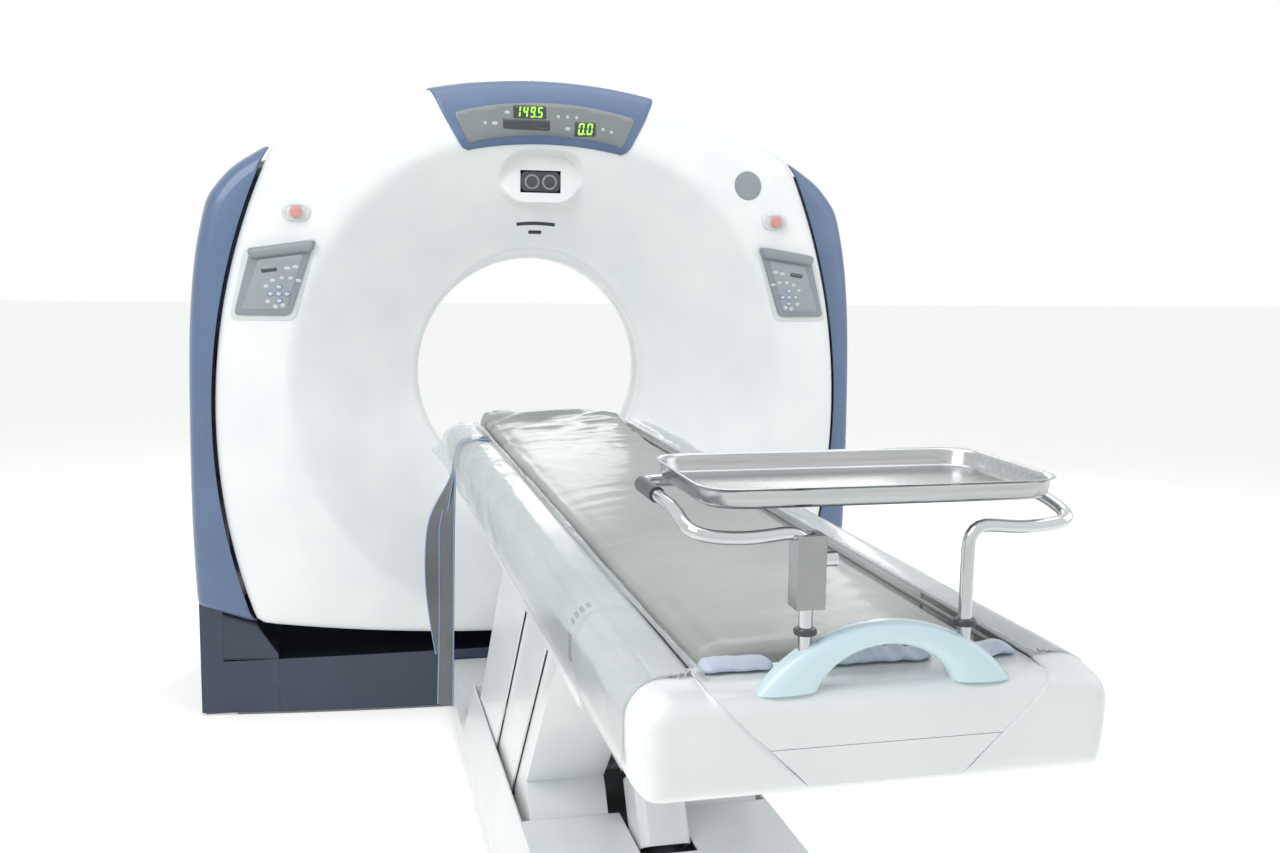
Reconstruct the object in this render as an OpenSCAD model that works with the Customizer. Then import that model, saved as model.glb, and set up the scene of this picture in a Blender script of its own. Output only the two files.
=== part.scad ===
// CT scanner: tilting gantry between two fixed side cowls, and a patient table on a
// parallelogram lift with shingled shroud panels.
// X runs across the bore, Y runs from the table through the bore, Z is up.
// The origin is the floor point below the scan centre.

/* [Gantry] */
// Height of the scan centre above the floor
iso_h = 1015; // [1005:1:1025]
// Clear diameter of the bore
bore_d = 700; // [690:1:706]
// Half width of the white cover at its widest
cover_half_w = 933; // [928:1:936]
// Height of the white cover above the scan centre
cover_top = 859; // [840:1:880]
// Depth of the white cover below the scan centre
cover_bottom = 780; // [760:1:782]
// Radius of the cover's top edge
cover_top_r = 1560; // [1450:10:1700]
// Radius of the cover's side edges
cover_side_r = 1813; // [1750:10:1900]
// Radius of the cover's bottom edge
cover_bottom_r = 5200; // [4800:50:5600]
// Wall of the moulded covers
cover_wall = 5; // [3:0.5:7]
// Wall of the dish round the bore
dish_wall = 6; // [4:0.5:8]
// Depth of the bore lip behind the scan plane
lip_y = 55; // [50:1:65]
// Gap between the tilting cover and the front of the cowls
tilt_gap = 10; // [9:0.5:12]
// Gap between the tilting cover and the rear of the cowls
tilt_gap_rear = 14; // [12:0.5:17]
// Radius of the space that the tilting cover sweeps
tilt_clear_r = 868; // [866:1:872]
// Diameter of the trunnion pins
trunnion_d = 80; // [60:1:90]
// Thickness of each stand
stand_t = 50; // [40:1:52]
// Inner face of each stand
stand_x = 940; // [938:1:944]

/* [Cowls and plinth] */
// Wall of the side cowls
cowl_wall = 5; // [3:0.5:7]
// Thickness of the plinth panels
plinth_wall = 5; // [3:0.5:7]
// Height of the plinth front panel
plinth_h = 190; // [180:1:200]
// Radius of the plinth front in plan
plinth_r = 6700; // [6400:50:7200]
// Distance of the plinth front from the scan plane
plinth_y = 245; // [240:1:250]
// Half length of the plinth front panel
plinth_half_w = 777; // [760:1:790]
// Gap between the floor and the plinth panels
plinth_foot_gap = 8; // [5:1:15]

/* [Base frame] */
// Height of the base beams
beam_h = 60; // [50:1:80]
// Width of the base beams
beam_w = 80; // [60:1:90]
// Distance of the anchor bolts from the scan plane
anchor_y = 150; // [145:1:160]
// Distance of the anchor bolts from the centre line
anchor_x = 700; // [600:10:760]
// Diameter of the anchor holes
anchor_d = 18; // [14:1:22]

/* [Rotor] */
// Outer radius of the rotor
rotor_r = 700; // [690:1:705]
// Inner radius of the rotor
rotor_in_r = 400; // [395:1:405]
// Thickness of the rotor drum
rotor_t = 60; // [50:1:65]
// Radius of the focal spot from the scan centre
spot_r = 541; // [530:1:548]
// Distance from the focal spot to the detector
detector_dist = 949; // [940:1:955]
// Half angle of the detector
fan_half = 26; // [20:0.5:28]
// Radius of the main bearing's bore
race_r = 560; // [545:1:570]
// Distance of the drive motor's shaft from the scan centre
motor_r = 848; // [846:1:852]
// Radius of the belt pulley
pulley_r = 41; // [35:1:50]

/* [Display and controls] */
// Half width of the display bezel at its top
bezel_top_w = 336; // [300:1:360]
// Half width of the display bezel at its bottom
bezel_bottom_w = 235; // [200:1:260]
// How far the display bezel stands proud of the cover
bezel_t = 5; // [3:0.5:8]
// Thickness of the display lens
lens_t = 2; // [1:0.5:4]
// Distance of the stop buttons from the centre line
estop_x = 698; // [685:1:705]
// Height of the stop buttons above the scan centre
estop_z = 469; // [455:1:480]
// Diameter of the stop button's stem
estop_stem_d = 16; // [12:1:20]
// Diameter of the stop button's cap
estop_cap_d = 34; // [30:1:38]
// Travel of the stop buttons
estop_travel = 6; // [4:0.5:7]
// How far the control panels stand proud of the cover
panel_t = 10; // [6:0.5:14]
// How far the panel hood stands proud of the cover
hood_t = 30; // [20:1:36]

/* [Table base] */
// Half width of the table base at its widest
base_half_w = 290; // [286:1:300]
// Height of the table base
base_h = 245; // [240:1:252]
// Height of the table base next to the gantry
base_low_h = 150; // [145:1:165]
// Place of the step between the low and the high part of the base
base_step_y = 760; // [740:1:768]
// Front end of the table base
base_end_y = 2050; // [2030:5:2100]
// Wall of the table base cover
base_wall = 4; // [3:0.5:5]
// Half width of the well that the shrouds come out of
well_half_w = 258; // [257:0.5:259]
// Front edge of the well
well_front_y = 1591; // [1589:1:1594]

/* [Lift] */
// Height of the lower lift pivots
pivot_z = 130; // [126:1:134]
// Place of the rear leg's lower pivot
rear_pivot_y = 901; // [895:1:907]
// Place of the middle shroud's pivot
mid_pivot_y = 1175; // [1170:1:1180]
// Place of the front leg's lower pivot
front_pivot_y = 1373; // [1368:1:1376]
// Length of the lift legs between their pivots
leg_len = 924; // [915:1:933]
// Lean of the legs from the vertical at rest
leg_lean = 43.5; // [43:0.1:44]
// Diameter of the lift shafts
shaft_d = 30; // [26:1:32]
// Outer radius of the leg hubs
hub_r = 27; // [24:0.5:27]
// Thickness of the shroud panels
shroud_t = 4; // [3:0.5:4.5]
// Inner face of the rear shroud's side panels
rear_shroud_x = 251; // [250.5:0.1:252]
// Inner face of the middle shroud's side panels
mid_shroud_x = 244; // [243:0.1:245]
// Inner face of the front shroud's side panels
front_shroud_x = 237; // [236:0.1:238]
// Half width of the slot in the front shroud
slot_half_w = 79; // [74:1:82]
// Radius of the front shroud's box about its pivot
box_r = 243; // [240:0.5:244]
// Height of the actuator's lower pivot
act_z = 60; // [56:1:64]
// Place of the actuator's lower pivot
act_y = 1820; // [1814:1:1826]
// Distance of the actuator's upper pin from the front leg's pivot
crank_r = 340; // [335:1:345]
// Width of the actuator cover
act_cover_w = 100; // [90:1:104]
// Depth of the actuator cover
act_cover_d = 125; // [110:1:126]

/* [Table top] */
// Height of the top of the cradle at rest
cradle_z = 865; // [862:1:870]
// Thickness of the cradle
cradle_t = 35; // [30:1:36]
// Half width of the cradle
cradle_half_w = 217; // [212:1:217]
// Head end of the cradle
cradle_head_y = 340; // [335:1:350]
// Foot end of the cradle
cradle_foot_y = 2600; // [2590:1:2610]
// Half width of the table's side covers
side_half_w = 300; // [296:1:306]
// Height of the top of the side covers
side_top_z = 900; // [896:1:904]
// Height of the bottom of the side covers
side_bottom_z = 755; // [750:1:758]
// Inner edge of the side covers
seam_x = 219; // [218:0.5:222]
// Wall of the side covers
side_wall = 4; // [3:0.5:5]
// Head end of the side covers
side_head_y = 440; // [430:1:450]
// Seam between the side covers and the foot cap
cap_seam_y = 2340; // [2300:1:2380]
// Foot end of the table top
table_end_y = 2712; // [2700:1:2730]
// Thickness of the mattress
mattress_t = 40; // [34:1:46]
// Half width of the mattress
mattress_half_w = 200; // [190:1:210]
// Height of the table frame's rails
rail_h = 55; // [50:1:56]
// Inner face of the table frame's rails
rail_x = 197; // [196:0.5:199]
// Width of the table frame's rails
rail_w = 28; // [24:1:30]

/* [Handle and tray] */
// Half width of the handle
handle_half_w = 160; // [150:1:175]
// Height of the handle
handle_h = 75; // [68:1:85]
// Half width of the handle's opening
grip_half_w = 84; // [76:1:88]
// Height of the handle's opening
grip_h = 46; // [40:1:50]
// Thickness of the handle
handle_t = 35; // [30:1:40]
// Distance of the tray posts from the centre line
post_x = 100; // [95:1:110]
// Diameter of the tray's rods
rod_d = 16; // [12:1:18]
// Height of the tray's rails above the cradle
tray_rise = 230; // [200:5:260]
// Half width of the tray
tray_half_w = 225; // [205:1:230]
// Length of the tray
tray_len = 260; // [230:1:280]
// Depth of the tray
tray_depth = 26; // [20:1:34]
// Sheet thickness of the tray
tray_wall = 1.5; // [1:0.5:2]

/* [Hidden] */

eps = 0.01;
seat = 0.3;
run = 0.05;
cut = 50;
round_fn = 96;
bore_r = bore_d / 2;

white = [0.93, 0.94, 0.94];
cowl_blue = [0.43, 0.51, 0.66];
base_blue = [0.24, 0.28, 0.38];
steel = [0.62, 0.64, 0.66];
dark = [0.2, 0.21, 0.23];
grey = [0.52, 0.55, 0.56];

// Depth in front of the scan plane and inset of each section of the front dome
front_sections = [[200, 0], [235, 0], [262, 3], [282, 11], [298, 27], [309, 58], [318, 100],
    [332, 190]];
// Depth behind the scan plane and inset of each section of the rear dome
rear_sections = [[300, 0], [350, 2], [385, 12], [412, 30], [430, 60], [442, 130], [450, 230]];
cover_back = front_sections[0][0];
rear_seam = rear_sections[0][0];
side_centre_z = -117;
roof_z = 625;
corner_soft = 9;
cowl_soft = 7;
cover_points = 80;
foot_points = 96;
foot_soft = 1.5;
cowl_points = 64;
cowl_mid = [860, -60];

// Slope of the dish: depth gained for each millimetre of radius
dish_slope = 0.708;
dish_foot = 68;
lip_fillet = 38;
rear_funnel_r = 560;

// Outline of a side cowl, from its top inner corner clockwise, about the scan centre
cowl_outline = [[700, 659], [775, 659], [878, 593], [943, 512], [979, 370], [1004, 145],
    [1010, -65], [1012, -455], [1001, -665], [842, -725], [700, -725]];
// Distance from the scan plane and inset of each section of a cowl
cowl_sections = [[-250, 45], [-244, 22], [-226, 6], [-195, 0], [340, 0], [375, 8],
    [392, 30]];
cowl_open = 365;
// Clearance between the tips of the cowls and the roof that tilts past them
cowl_tip_gap = 50;
cowl_tip_back = 350;
plinth_back = 380;

stand_top_r = 115;
stand_foot_y = [-160, 330];
arm_x = 838;
arm_h = 140;
arm_front = 60;
frame_y = 90;
frame_t = 40;
frame_in_r = 430;
frame_out_r = 740;
race_w = 80;
motor_angle = -45;
motor_body_r = 75;
belt_t = 3;
belt_fn = 180;

gear_r = 140;

pod_w = 120;
pod_h = 65;
pod_z = 575;
pod_face = 229;
scoop_w = 240;
scoop_h = 148;
scoop_z = 583;
estop_pad = [78, 47];
estop_face = 336;

leg_bar_w = 40;
rear_bar_x = 150;
front_bar_x = 90;
top_pivot_z = pivot_z + leg_len * cos(leg_lean);
leg_shift = leg_len * sin(leg_lean);
rear_top_y = rear_pivot_y + leg_shift;
front_top_y = front_pivot_y + leg_shift;
hub_half = rail_x - 4;
lug_x = 200;
lug_t = 12;
slat_top_z = 790;

crank_y = front_pivot_y + crank_r * sin(leg_lean);
crank_z = pivot_z + crank_r * cos(leg_lean);
act_len = norm([act_y - crank_y, crank_z - act_z]);
act_angle = atan2(act_y - crank_y, crank_z - act_z);
act_pin_r = 12;
act_eye_r = 26;

cradle_bottom = cradle_z - cradle_t;
rail_top = cradle_bottom - seat;
side_round = 45;
side_mid_z = side_top_z - 70;
foot_top = 895;
foot_mouth_z = 782;
foot_half_w = 97;
post_y = table_end_y - 22;
tray_z = cradle_z + tray_rise;

// Places children with X and Y of their plane on X and Z, from y0 to y1
module xz_slab(y0, y1) {
    translate([0, y1, 0]) rotate([90, 0, 0]) linear_extrude(y1 - y0) children();
}
// Places children with X and Y of their plane on Y and Z, from x0 to x1
module yz_slab(x0, x1) {
    translate([x0, 0, 0]) rotate([90, 0, 90]) linear_extrude(x1 - x0) children();
}
module at_iso() { translate([0, 0, iso_h]) children(); }
// Turns a profile about the bore, with its height measured towards the table
module about_bore() { at_iso() rotate([90, 0, 0]) children(); }
module both_sides() {
    children();
    mirror([1, 0, 0]) children();
}
module pin_x(r, x0, x1) {
    translate([x0, 0, 0]) rotate([0, 90, 0]) cylinder(r = r, h = x1 - x0, $fn = round_fn);
}
module ring_y(r_out, r_in, y0, y1) {
    translate([0, y1, 0]) rotate([90, 0, 0]) difference() {
        cylinder(r = r_out, h = y1 - y0, $fn = round_fn);
        translate([0, 0, -cut]) cylinder(r = r_in, h = y1 - y0 + 2 * cut, $fn = round_fn);
    }
}
module stadium(w, h) {
    square([w - h, h], center = true);
    for (s = [-1, 1]) translate([s * (w - h) / 2, 0]) circle(d = h, $fn = 48);
}

// Centre and radius of the arcs that bound the white cover, about the scan centre
cover_arcs = [
    [[0, cover_top - cover_top_r], cover_top_r],
    [[cover_half_w - cover_side_r, side_centre_z], cover_side_r],
    [[cover_side_r - cover_half_w, side_centre_z], cover_side_r],
    [[0, cover_bottom_r - cover_bottom], cover_bottom_r]];
// Outline of the white cover, drawn in by inset
module cover_outline(inset = 0) {
    intersection_for (a = cover_arcs)
        translate(a[0]) circle(r = a[1] - inset, $fn = 180);
}
// Smallest of a list, with the corner between two of them rounded
function soft_min(v, k) = let (m = min(v))
    m - ln([for (x = v) exp(-(x - m) / k)] * [for (x = v) 1]) * k;
// Distance from the scan centre to the cover's edge in direction d
cover_ray = function (d, inset) soft_min([for (a = cover_arcs)
    let (b = d * a[0]) b + sqrt(b * b + pow(a[1] - inset, 2) - a[0] * a[0])], corner_soft);
// Distance from the cowl's middle to its edge in direction d
cowl_ray = function (d, inset) soft_min([for (i = [0 : len(cowl_outline) - 1])
    let (p = cowl_outline[i] - cowl_mid, q = cowl_outline[(i + 1) % len(cowl_outline)] - cowl_mid,
        e = q - p, n = [-e[1], e[0]] / norm(e) , f = d * n)
    f > 0.05 ? (p * n - inset) / f : 5000], cowl_soft);
// Smooth body through rings at [y, inset], with its edge given by a ray function
module loft(ray, mid, rings, count) {
    m = len(rings);
    points = [for (r = rings, i = [0 : count - 1])
        let (d = [cos(360 * i / count), sin(360 * i / count)], t = ray(d, r[1]))
        [mid[0] + t * d[0], r[0], mid[1] + t * d[1]]];
    walls = [for (j = [0 : m - 2], i = [0 : count - 1])
        let (a = j * count + i, b = j * count + (i + 1) % count)
        each [[a, b, b + count], [a, b + count, a + count]]];
    polyhedron(points = points, faces = concat(walls,
        [[for (i = [count - 1 : -1 : 0]) i]], [[for (i = [0 : count - 1]) (m - 1) * count + i]]));
}
// Domed front of the cover, drawn in by depth on every side
module front_dome(depth, back = 0) {
    at_iso() loft(cover_ray, [0, 0], concat(
        [for (i = [len(front_sections) - 1 : -1 : 1])
            [depth - front_sections[i][0], front_sections[i][1] + depth]],
        [[back - cover_back, depth]]), cover_points);
}
module rear_dome(depth, front = seat) {
    at_iso() loft(cover_ray, [0, 0], concat([[front - cover_back, depth]],
        [for (r = rear_sections) [r[0] - depth, r[1] + depth]]), cover_points);
}
// Open space of the dish, grown by wall
module dish(wall) {
    shift = wall * sqrt(1 + dish_slope * dish_slope);
    out = 500;
    r_lip = bore_r + lip_fillet;
    h_lip = dish_foot + lip_fillet * dish_slope - shift;
    about_bore() rotate_extrude($fn = round_fn) polygon([
        [0, -cut], [bore_r + wall, -cut], [bore_r + wall, lip_y],
        [bore_r + wall + 3, lip_y + 14 - wall], [bore_r + 14, h_lip - 14], [r_lip, h_lip],
        [bore_r + (out - dish_foot + shift) / dish_slope, out], [0, out]]);
}
module rear_funnel(wall) {
    out = 500;
    slope = (rear_funnel_r - bore_r) / (rear_sections[3][0] - lip_y);
    at_iso() rotate([-90, 0, 0]) rotate_extrude($fn = round_fn) polygon([
        [0, -cut], [bore_r + wall, -cut], [bore_r + wall, lip_y],
        [bore_r + wall + (out - lip_y) * slope, out], [0, out]]);
}
module scoop_shape(grow) {
    translate([0, scoop_z]) stadium(scoop_w + 2 * grow, scoop_h + 2 * grow);
}
module pod_shape(grow) {
    translate([0, pod_z]) square([pod_w + 2 * grow, pod_h + 2 * grow], center = true);
}
module front_cover() color(white) difference() {
    union() {
        front_dome(0);
        intersection() {
            dish(dish_wall);
            at_iso() translate([-1000, -300, -1000]) cube([2000, 300 - lip_y, 2000]);
        }
    }
    dish(0);
    difference() {
        front_dome(cover_wall, cut);
        dish(dish_wall);
        at_iso() xz_slab(-pod_face, -pod_face + dish_wall) scoop_shape(dish_wall);
        at_iso() xz_slab(-400, -pod_face + eps) difference() {
            scoop_shape(dish_wall);
            scoop_shape(0);
        }
    }
    at_iso() xz_slab(-400, -pod_face) scoop_shape(0);
    at_iso() xz_slab(-400, -100) pod_shape(seat);
    for (s = [-1, 1]) translate([s * estop_x, 0, iso_h + estop_z])
        ring_y(estop_stem_d / 2 + 4, 0, -400, -200);
}
module rear_cover() color(white) difference() {
    union() {
        rear_dome(0);
        rear_lip(dish_wall, rear_seam);
    }
    rear_funnel(0);
    difference() {
        rear_dome(cover_wall, -cut);
        rear_lip(dish_wall);
    }
    difference() {
        at_iso() translate([-1000, -cover_back - cut, -1000])
            cube([2000, cover_back + cut + rear_seam, 1000 + roof_z]);
        rear_lip(dish_wall + 2);
    }
}
// The rear funnel's space from the bore lip outwards
module rear_lip(wall, depth = 500) {
    intersection() {
        rear_funnel(wall);
        at_iso() translate([-1000, lip_y, -1000]) cube([2000, depth, 2000]);
    }
}
// Skin on the front dome between two heights above it, cut to an outline
module dome_skin(high, low) {
    intersection() {
        difference() {
            front_dome(-high);
            front_dome(-low);
        }
        at_iso() xz_slab(-500, -cover_back) children();
    }
}
module bezel_outline() {
    intersection() {
        polygon([[-bezel_top_w, cover_top - 30], [-bezel_top_w, cover_top + 20],
            [bezel_top_w, cover_top + 20], [bezel_top_w, cover_top - 30],
            [bezel_bottom_w + 14, 668], [bezel_bottom_w - 18, 651],
            [18 - bezel_bottom_w, 651], [-bezel_bottom_w - 14, 668]]);
        translate([0, 678 - 1050]) difference() {
            circle(r = 1800, $fn = round_fn);
            circle(r = 1050, $fn = 200);
        }
    }
}
module display_bezel() color(cowl_blue) dome_skin(bezel_t, seat) bezel_outline();
module lens_outline() {
    intersection() {
        polygon([[-262, 753], [-262, 800], [262, 800], [262, 753], [226, 675], [210, 660],
            [-210, 660], [-226, 675]]);
        translate([0, 703 - 900]) difference() {
            circle(r = 988, $fn = 160);
            circle(r = 900, $fn = 160);
        }
    }
}
module display_lens() color(grey)
    dome_skin(bezel_t + seat + lens_t, bezel_t + seat) lens_outline();

// Tube halves of the bore's lining on both sides of the scan window
window_half = 30;
liner_t = 4;
module bore_liner() color(white) at_iso() for (s = [-1, 1])
    ring_y(bore_r + liner_t, bore_r, s > 0 ? window_half + seat : seat - lip_y,
        s > 0 ? lip_y - seat : -window_half - seat);
module scan_window() color([0.75, 0.78, 0.78, 0.6]) at_iso()
    ring_y(bore_r + liner_t, bore_r, -window_half, window_half);

panel_outline = [[822, 360], [650, 386], [718, 184], [869, 183]];
hood_outline = [[826, 366], [646, 394], [652, 368], [818, 342]];
keypad_outline = [[802, 336], [674, 356], [728, 198], [846, 197]];
module control_panel() {
    dome_skin(panel_t, seat) polygon(panel_outline);
    dome_skin(hood_t, seat) polygon(hood_outline);
}
module control_panel_left() color(grey) mirror([1, 0, 0]) control_panel();
module control_panel_right() color(grey) control_panel();
module keypads() color([0.62, 0.65, 0.65])
    dome_skin(panel_t + seat + 2, panel_t + seat) both_sides() polygon(keypad_outline);
module light_pod() color(dark) at_iso() difference() {
    xz_slab(-pod_face, -140) pod_shape(0);
    xz_slab(-pod_face + 4, -140 + eps) pod_shape(-4);
}

module estop_bezels() color([0.85, 0.86, 0.86]) difference() {
    both_sides() translate([estop_x, 0, iso_h + estop_z]) difference() {
        xz_slab(-estop_face, -300) stadium(estop_pad[0], estop_pad[1]);
        ring_y(estop_stem_d / 2 + run, 0, -400, -200);
    }
    front_dome(-seat);
}
module estop_button() translate([estop_x, 0, iso_h + estop_z]) {
    ring_y(estop_cap_d / 2, 0, -estop_face - estop_travel - 14, -estop_face - estop_travel - 1);
    ring_y(estop_stem_d / 2, 0, -estop_face - estop_travel - 2, -290);
}
module estop_button_left() color([0.8, 0.12, 0.1]) mirror([1, 0, 0]) estop_button();
module estop_button_right() color([0.8, 0.12, 0.1]) estop_button();

// Side cowls, open towards the cover that tilts between them
module cowl_body(wall) {
    at_iso() loft(cowl_ray, cowl_mid, [for (r = cowl_sections)
        [r[0] + (r[0] < 0 ? wall : -wall), r[1] + wall]], cowl_points);
}
module side_cowl() difference() {
    cowl_body(0);
    cowl_body(cowl_wall);
    at_iso() xz_slab(-400, 0) cover_outline(-tilt_gap);
    at_iso() xz_slab(-eps, 500) cover_outline(-tilt_gap_rear);
    at_iso() xz_slab(-cover_back, cowl_tip_back) cover_outline(-cowl_tip_gap);
    translate([600, -215, 200]) cube([stand_x + stand_t + 5 - 600, 215 + cowl_open, 240]);
}
module side_cowl_left() color(cowl_blue) mirror([1, 0, 0]) side_cowl();
module side_cowl_right() color(cowl_blue) side_cowl();

module tilt_sweep(half_w) {
    at_iso() pin_x(tilt_clear_r, -half_w, half_w);
}
module plinth_plan(drop, z0, z1) {
    translate([0, plinth_r - plinth_y, z0]) cylinder(r = plinth_r - drop, h = z1 - z0, $fn = 360);
}
module plinth_front() color(base_blue) difference() {
    intersection() {
        translate([seat - plinth_half_w, -300, plinth_foot_gap])
            cube([2 * (plinth_half_w - seat), 150, plinth_h - plinth_foot_gap]);
        plinth_plan(0, 0, 400);
    }
    intersection() {
        translate([-1000, -300, -1]) cube([2000, 300, plinth_h - plinth_wall * 3]);
        plinth_plan(plinth_wall, -cut, 400);
    }
    tilt_sweep(1000);
}
end_top = [[plinth_half_w, 187], [842, 287], [1001, 342]];
module plinth_end() difference() {
    intersection() {
        xz_slab(-300, plinth_back) polygon([end_top[0], end_top[1], end_top[2],
            [1001, plinth_foot_gap], [plinth_half_w, plinth_foot_gap]]);
        plinth_plan(0, 0, 400);
    }
    intersection() {
        translate([600, -300, -1]) cube([1001 - plinth_wall - 600, 300 + plinth_back - plinth_wall, 400]);
        plinth_plan(plinth_wall, -cut, 400);
    }
    tilt_sweep(stand_x - 5);
}
module plinth_ends() color(base_blue) both_sides() plinth_end();
module plinth_rear() color(base_blue)
    translate([seat - plinth_half_w, plinth_back - plinth_wall, plinth_foot_gap])
        cube([2 * (plinth_half_w - seat), plinth_wall, base_low_h - plinth_foot_gap]);

module gantry_base_frame() color(dark) difference() {
    union() {
        intersection() {
            translate([-900, -300, 0]) cube([1800, 300 - anchor_y + beam_w / 2, beam_h]);
            plinth_plan(plinth_wall + seat, 0, 400);
        }
        translate([-900, anchor_y - beam_w / 2, 0]) cube([1800, beam_w, beam_h]);
        translate([-plinth_half_w, plinth_back - plinth_wall - seat - beam_w, 0])
            cube([2 * plinth_half_w, beam_w, beam_h]);
        for (s = [-1, 1]) translate([s > 0 ? 860 : -stand_x - stand_t, stand_foot_y[0], 0])
            cube([stand_x + stand_t - 860, plinth_back - 12 - stand_foot_y[0], beam_h]);
        for (s = [-1, 1]) translate([s * 740 - 40, 0, 0])
            cube([80, plinth_back - plinth_wall - seat, beam_h]);
    }
    for (x = [-anchor_x, anchor_x], y = [-anchor_y, anchor_y])
        translate([x, y, -cut]) cylinder(d = anchor_d, h = beam_h + 2 * cut, $fn = 48);
}
module stand() {
    stand_plate();
    intersection() {
        at_iso() for (z = [-420, 20]) translate([stand_x + stand_t - 1, -60, z])
            cube([40, 120, 70]);
        cowl_body(cowl_wall + seat);
    }
}
module stand_plate() difference() {
    at_iso() yz_slab(stand_x, stand_x + stand_t) difference() {
        union() {
            circle(r = stand_top_r, $fn = round_fn);
            polygon([[stand_foot_y[0], beam_h - iso_h], [stand_foot_y[1], beam_h - iso_h],
                [stand_top_r, -40], [stand_top_r, 0], [-stand_top_r, 0], [-stand_top_r, -40]]);
        }
        circle(r = trunnion_d / 2 + run, $fn = round_fn);
    }
    at_iso() yz_slab(stand_x + 12, stand_x + stand_t + 1) polygon([
        [stand_foot_y[0] + 30, beam_h + 30 - iso_h], [stand_foot_y[1] - 40, beam_h + 30 - iso_h],
        [stand_top_r - 40, -520], [40 - stand_top_r, -520]]);
}
module stand_left() color(steel) mirror([1, 0, 0]) stand();
module stand_right() color(steel) stand();
module tilt_gearbox() color(dark) at_iso() difference() {
    pin_x(gear_r, arm_x + 7, stand_x - seat);
    pin_x(trunnion_d / 2 + 4, arm_x, stand_x);
}
// Posts on the tilt frame that carry the roof and the rear cover
module cover_posts() {
    intersection() {
        at_iso() {
            both_sides() translate([280, frame_y + 1, frame_out_r - 130])
                cube([50, frame_t - 2, 400]);
            both_sides() translate([frame_out_r - 80, frame_y + 1, -250])
                cube([50, 400, 50]);
        }
        rear_dome(cover_wall + seat, -cut);
    }
}
module tilt_frame() color(steel) {
    cover_posts();
    tilt_plate();
}
module tilt_plate() at_iso() difference() {
    union() {
        intersection() {
            ring_y(frame_out_r, 1, frame_y, frame_y + frame_t);
            translate([-800, 0, -800]) cube([1600, 300, 1600]);
        }
        xz_slab(frame_y, frame_y + frame_t) rotate(motor_angle) {
            translate([frame_out_r - 90, -90]) square([motor_r - frame_out_r + 90, 180]);
            translate([motor_r, 0]) circle(r = 90, $fn = round_fn);
        }
        both_sides() {
            translate([rotor_r + 12, -arm_front, -arm_h / 2])
                cube([arm_x - rotor_r - 12, arm_front + frame_y + frame_t, arm_h]);
            pin_x(trunnion_d / 2, arm_x - 8, stand_x + stand_t - 5);
        }
    }
    ring_y(frame_in_r, 0, 0, 300);
    xz_slab(0, 300) rotate(motor_angle) translate([motor_r, 0]) circle(r = 20, $fn = 48);
}
module bearing_race() color(steel) at_iso()
    ring_y(race_r + race_w, race_r, rotor_t + 1, frame_y - seat);
module drive_motor() color(dark) at_iso() rotate([0, -motor_angle, 0]) translate([motor_r, 0, 0])
    difference() {
        ring_y(motor_body_r, 0, frame_y + frame_t + seat, 300);
        ring_y(12 + run, 0, 0, 220);
    }
module motor_pulley() color(steel) at_iso() rotate([0, -motor_angle, 0]) translate([motor_r, 0, 0]) {
    ring_y(pulley_r, 0, 8, rotor_t - 8);
    for (y = [4, rotor_t - 8]) ring_y(pulley_r + 5, 0, y, y + 4);
    ring_y(12, 0, rotor_t - 6, 200);
}
module belt_path(grow) {
    hull() {
        circle(r = rotor_r + grow, $fn = belt_fn);
        rotate(motor_angle) translate([motor_r, 0]) circle(r = pulley_r + grow, $fn = 48);
    }
}
module drive_belt() color(dark) at_iso() xz_slab(10, rotor_t - 10) difference() {
    belt_path(seat + belt_t);
    belt_path(seat);
}

module rotor_ring() color(steel) at_iso() difference() {
    union() {
        ring_y(rotor_r, rotor_in_r, 0, rotor_t);
        ring_y(race_r - run, race_r - 30, rotor_t - 1, frame_y - 2);
    }
    for (a = [0 : 30 : 330]) rotate([0, a + 15, 0]) translate([650, 0, 0])
        ring_y(22, 0, -10, rotor_t + 10);
}
module slip_ring() color([0.75, 0.5, 0.3]) at_iso() difference() {
    ring_y(race_r - 40, frame_in_r + 10, rotor_t + seat, frame_y - 2);
    for (r = [450 : 15 : 510]) ring_y(r + 5, r, frame_y - 6, frame_y + 10);
}
module xray_tube() color(grey) at_iso() translate([0, 0, spot_r]) {
    ring_y(72, 0, -70, -seat);
    translate([-110, -60, -40]) cube([220, 60 - seat, 80]);
}
module collimator() color(dark) at_iso() difference() {
    translate([-80, -60, 425]) cube([160, 60 - seat, 36]);
    translate([-55, -45, 400]) cube([110, 30, 100]);
}
module detector() color(dark) at_iso() translate([0, -seat, spot_r]) rotate([90, 0, 0])
    rotate([0, 0, -90 - fan_half]) rotate_extrude(angle = 2 * fan_half, $fn = 200)
        translate([detector_dist, 0]) square([60, 75]);
module hv_tank() color(steel) at_iso() difference() {
    translate([-630, -75, -120]) cube([190, 75 - seat, 240]);
    for (z = [-100 : 20 : 100]) translate([-640, -90, z - 4]) cube([210, 30, 8]);
}
module counterweight() color(dark) at_iso() translate([450, -60, -110]) cube([150, 60 - seat, 220]);

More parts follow.
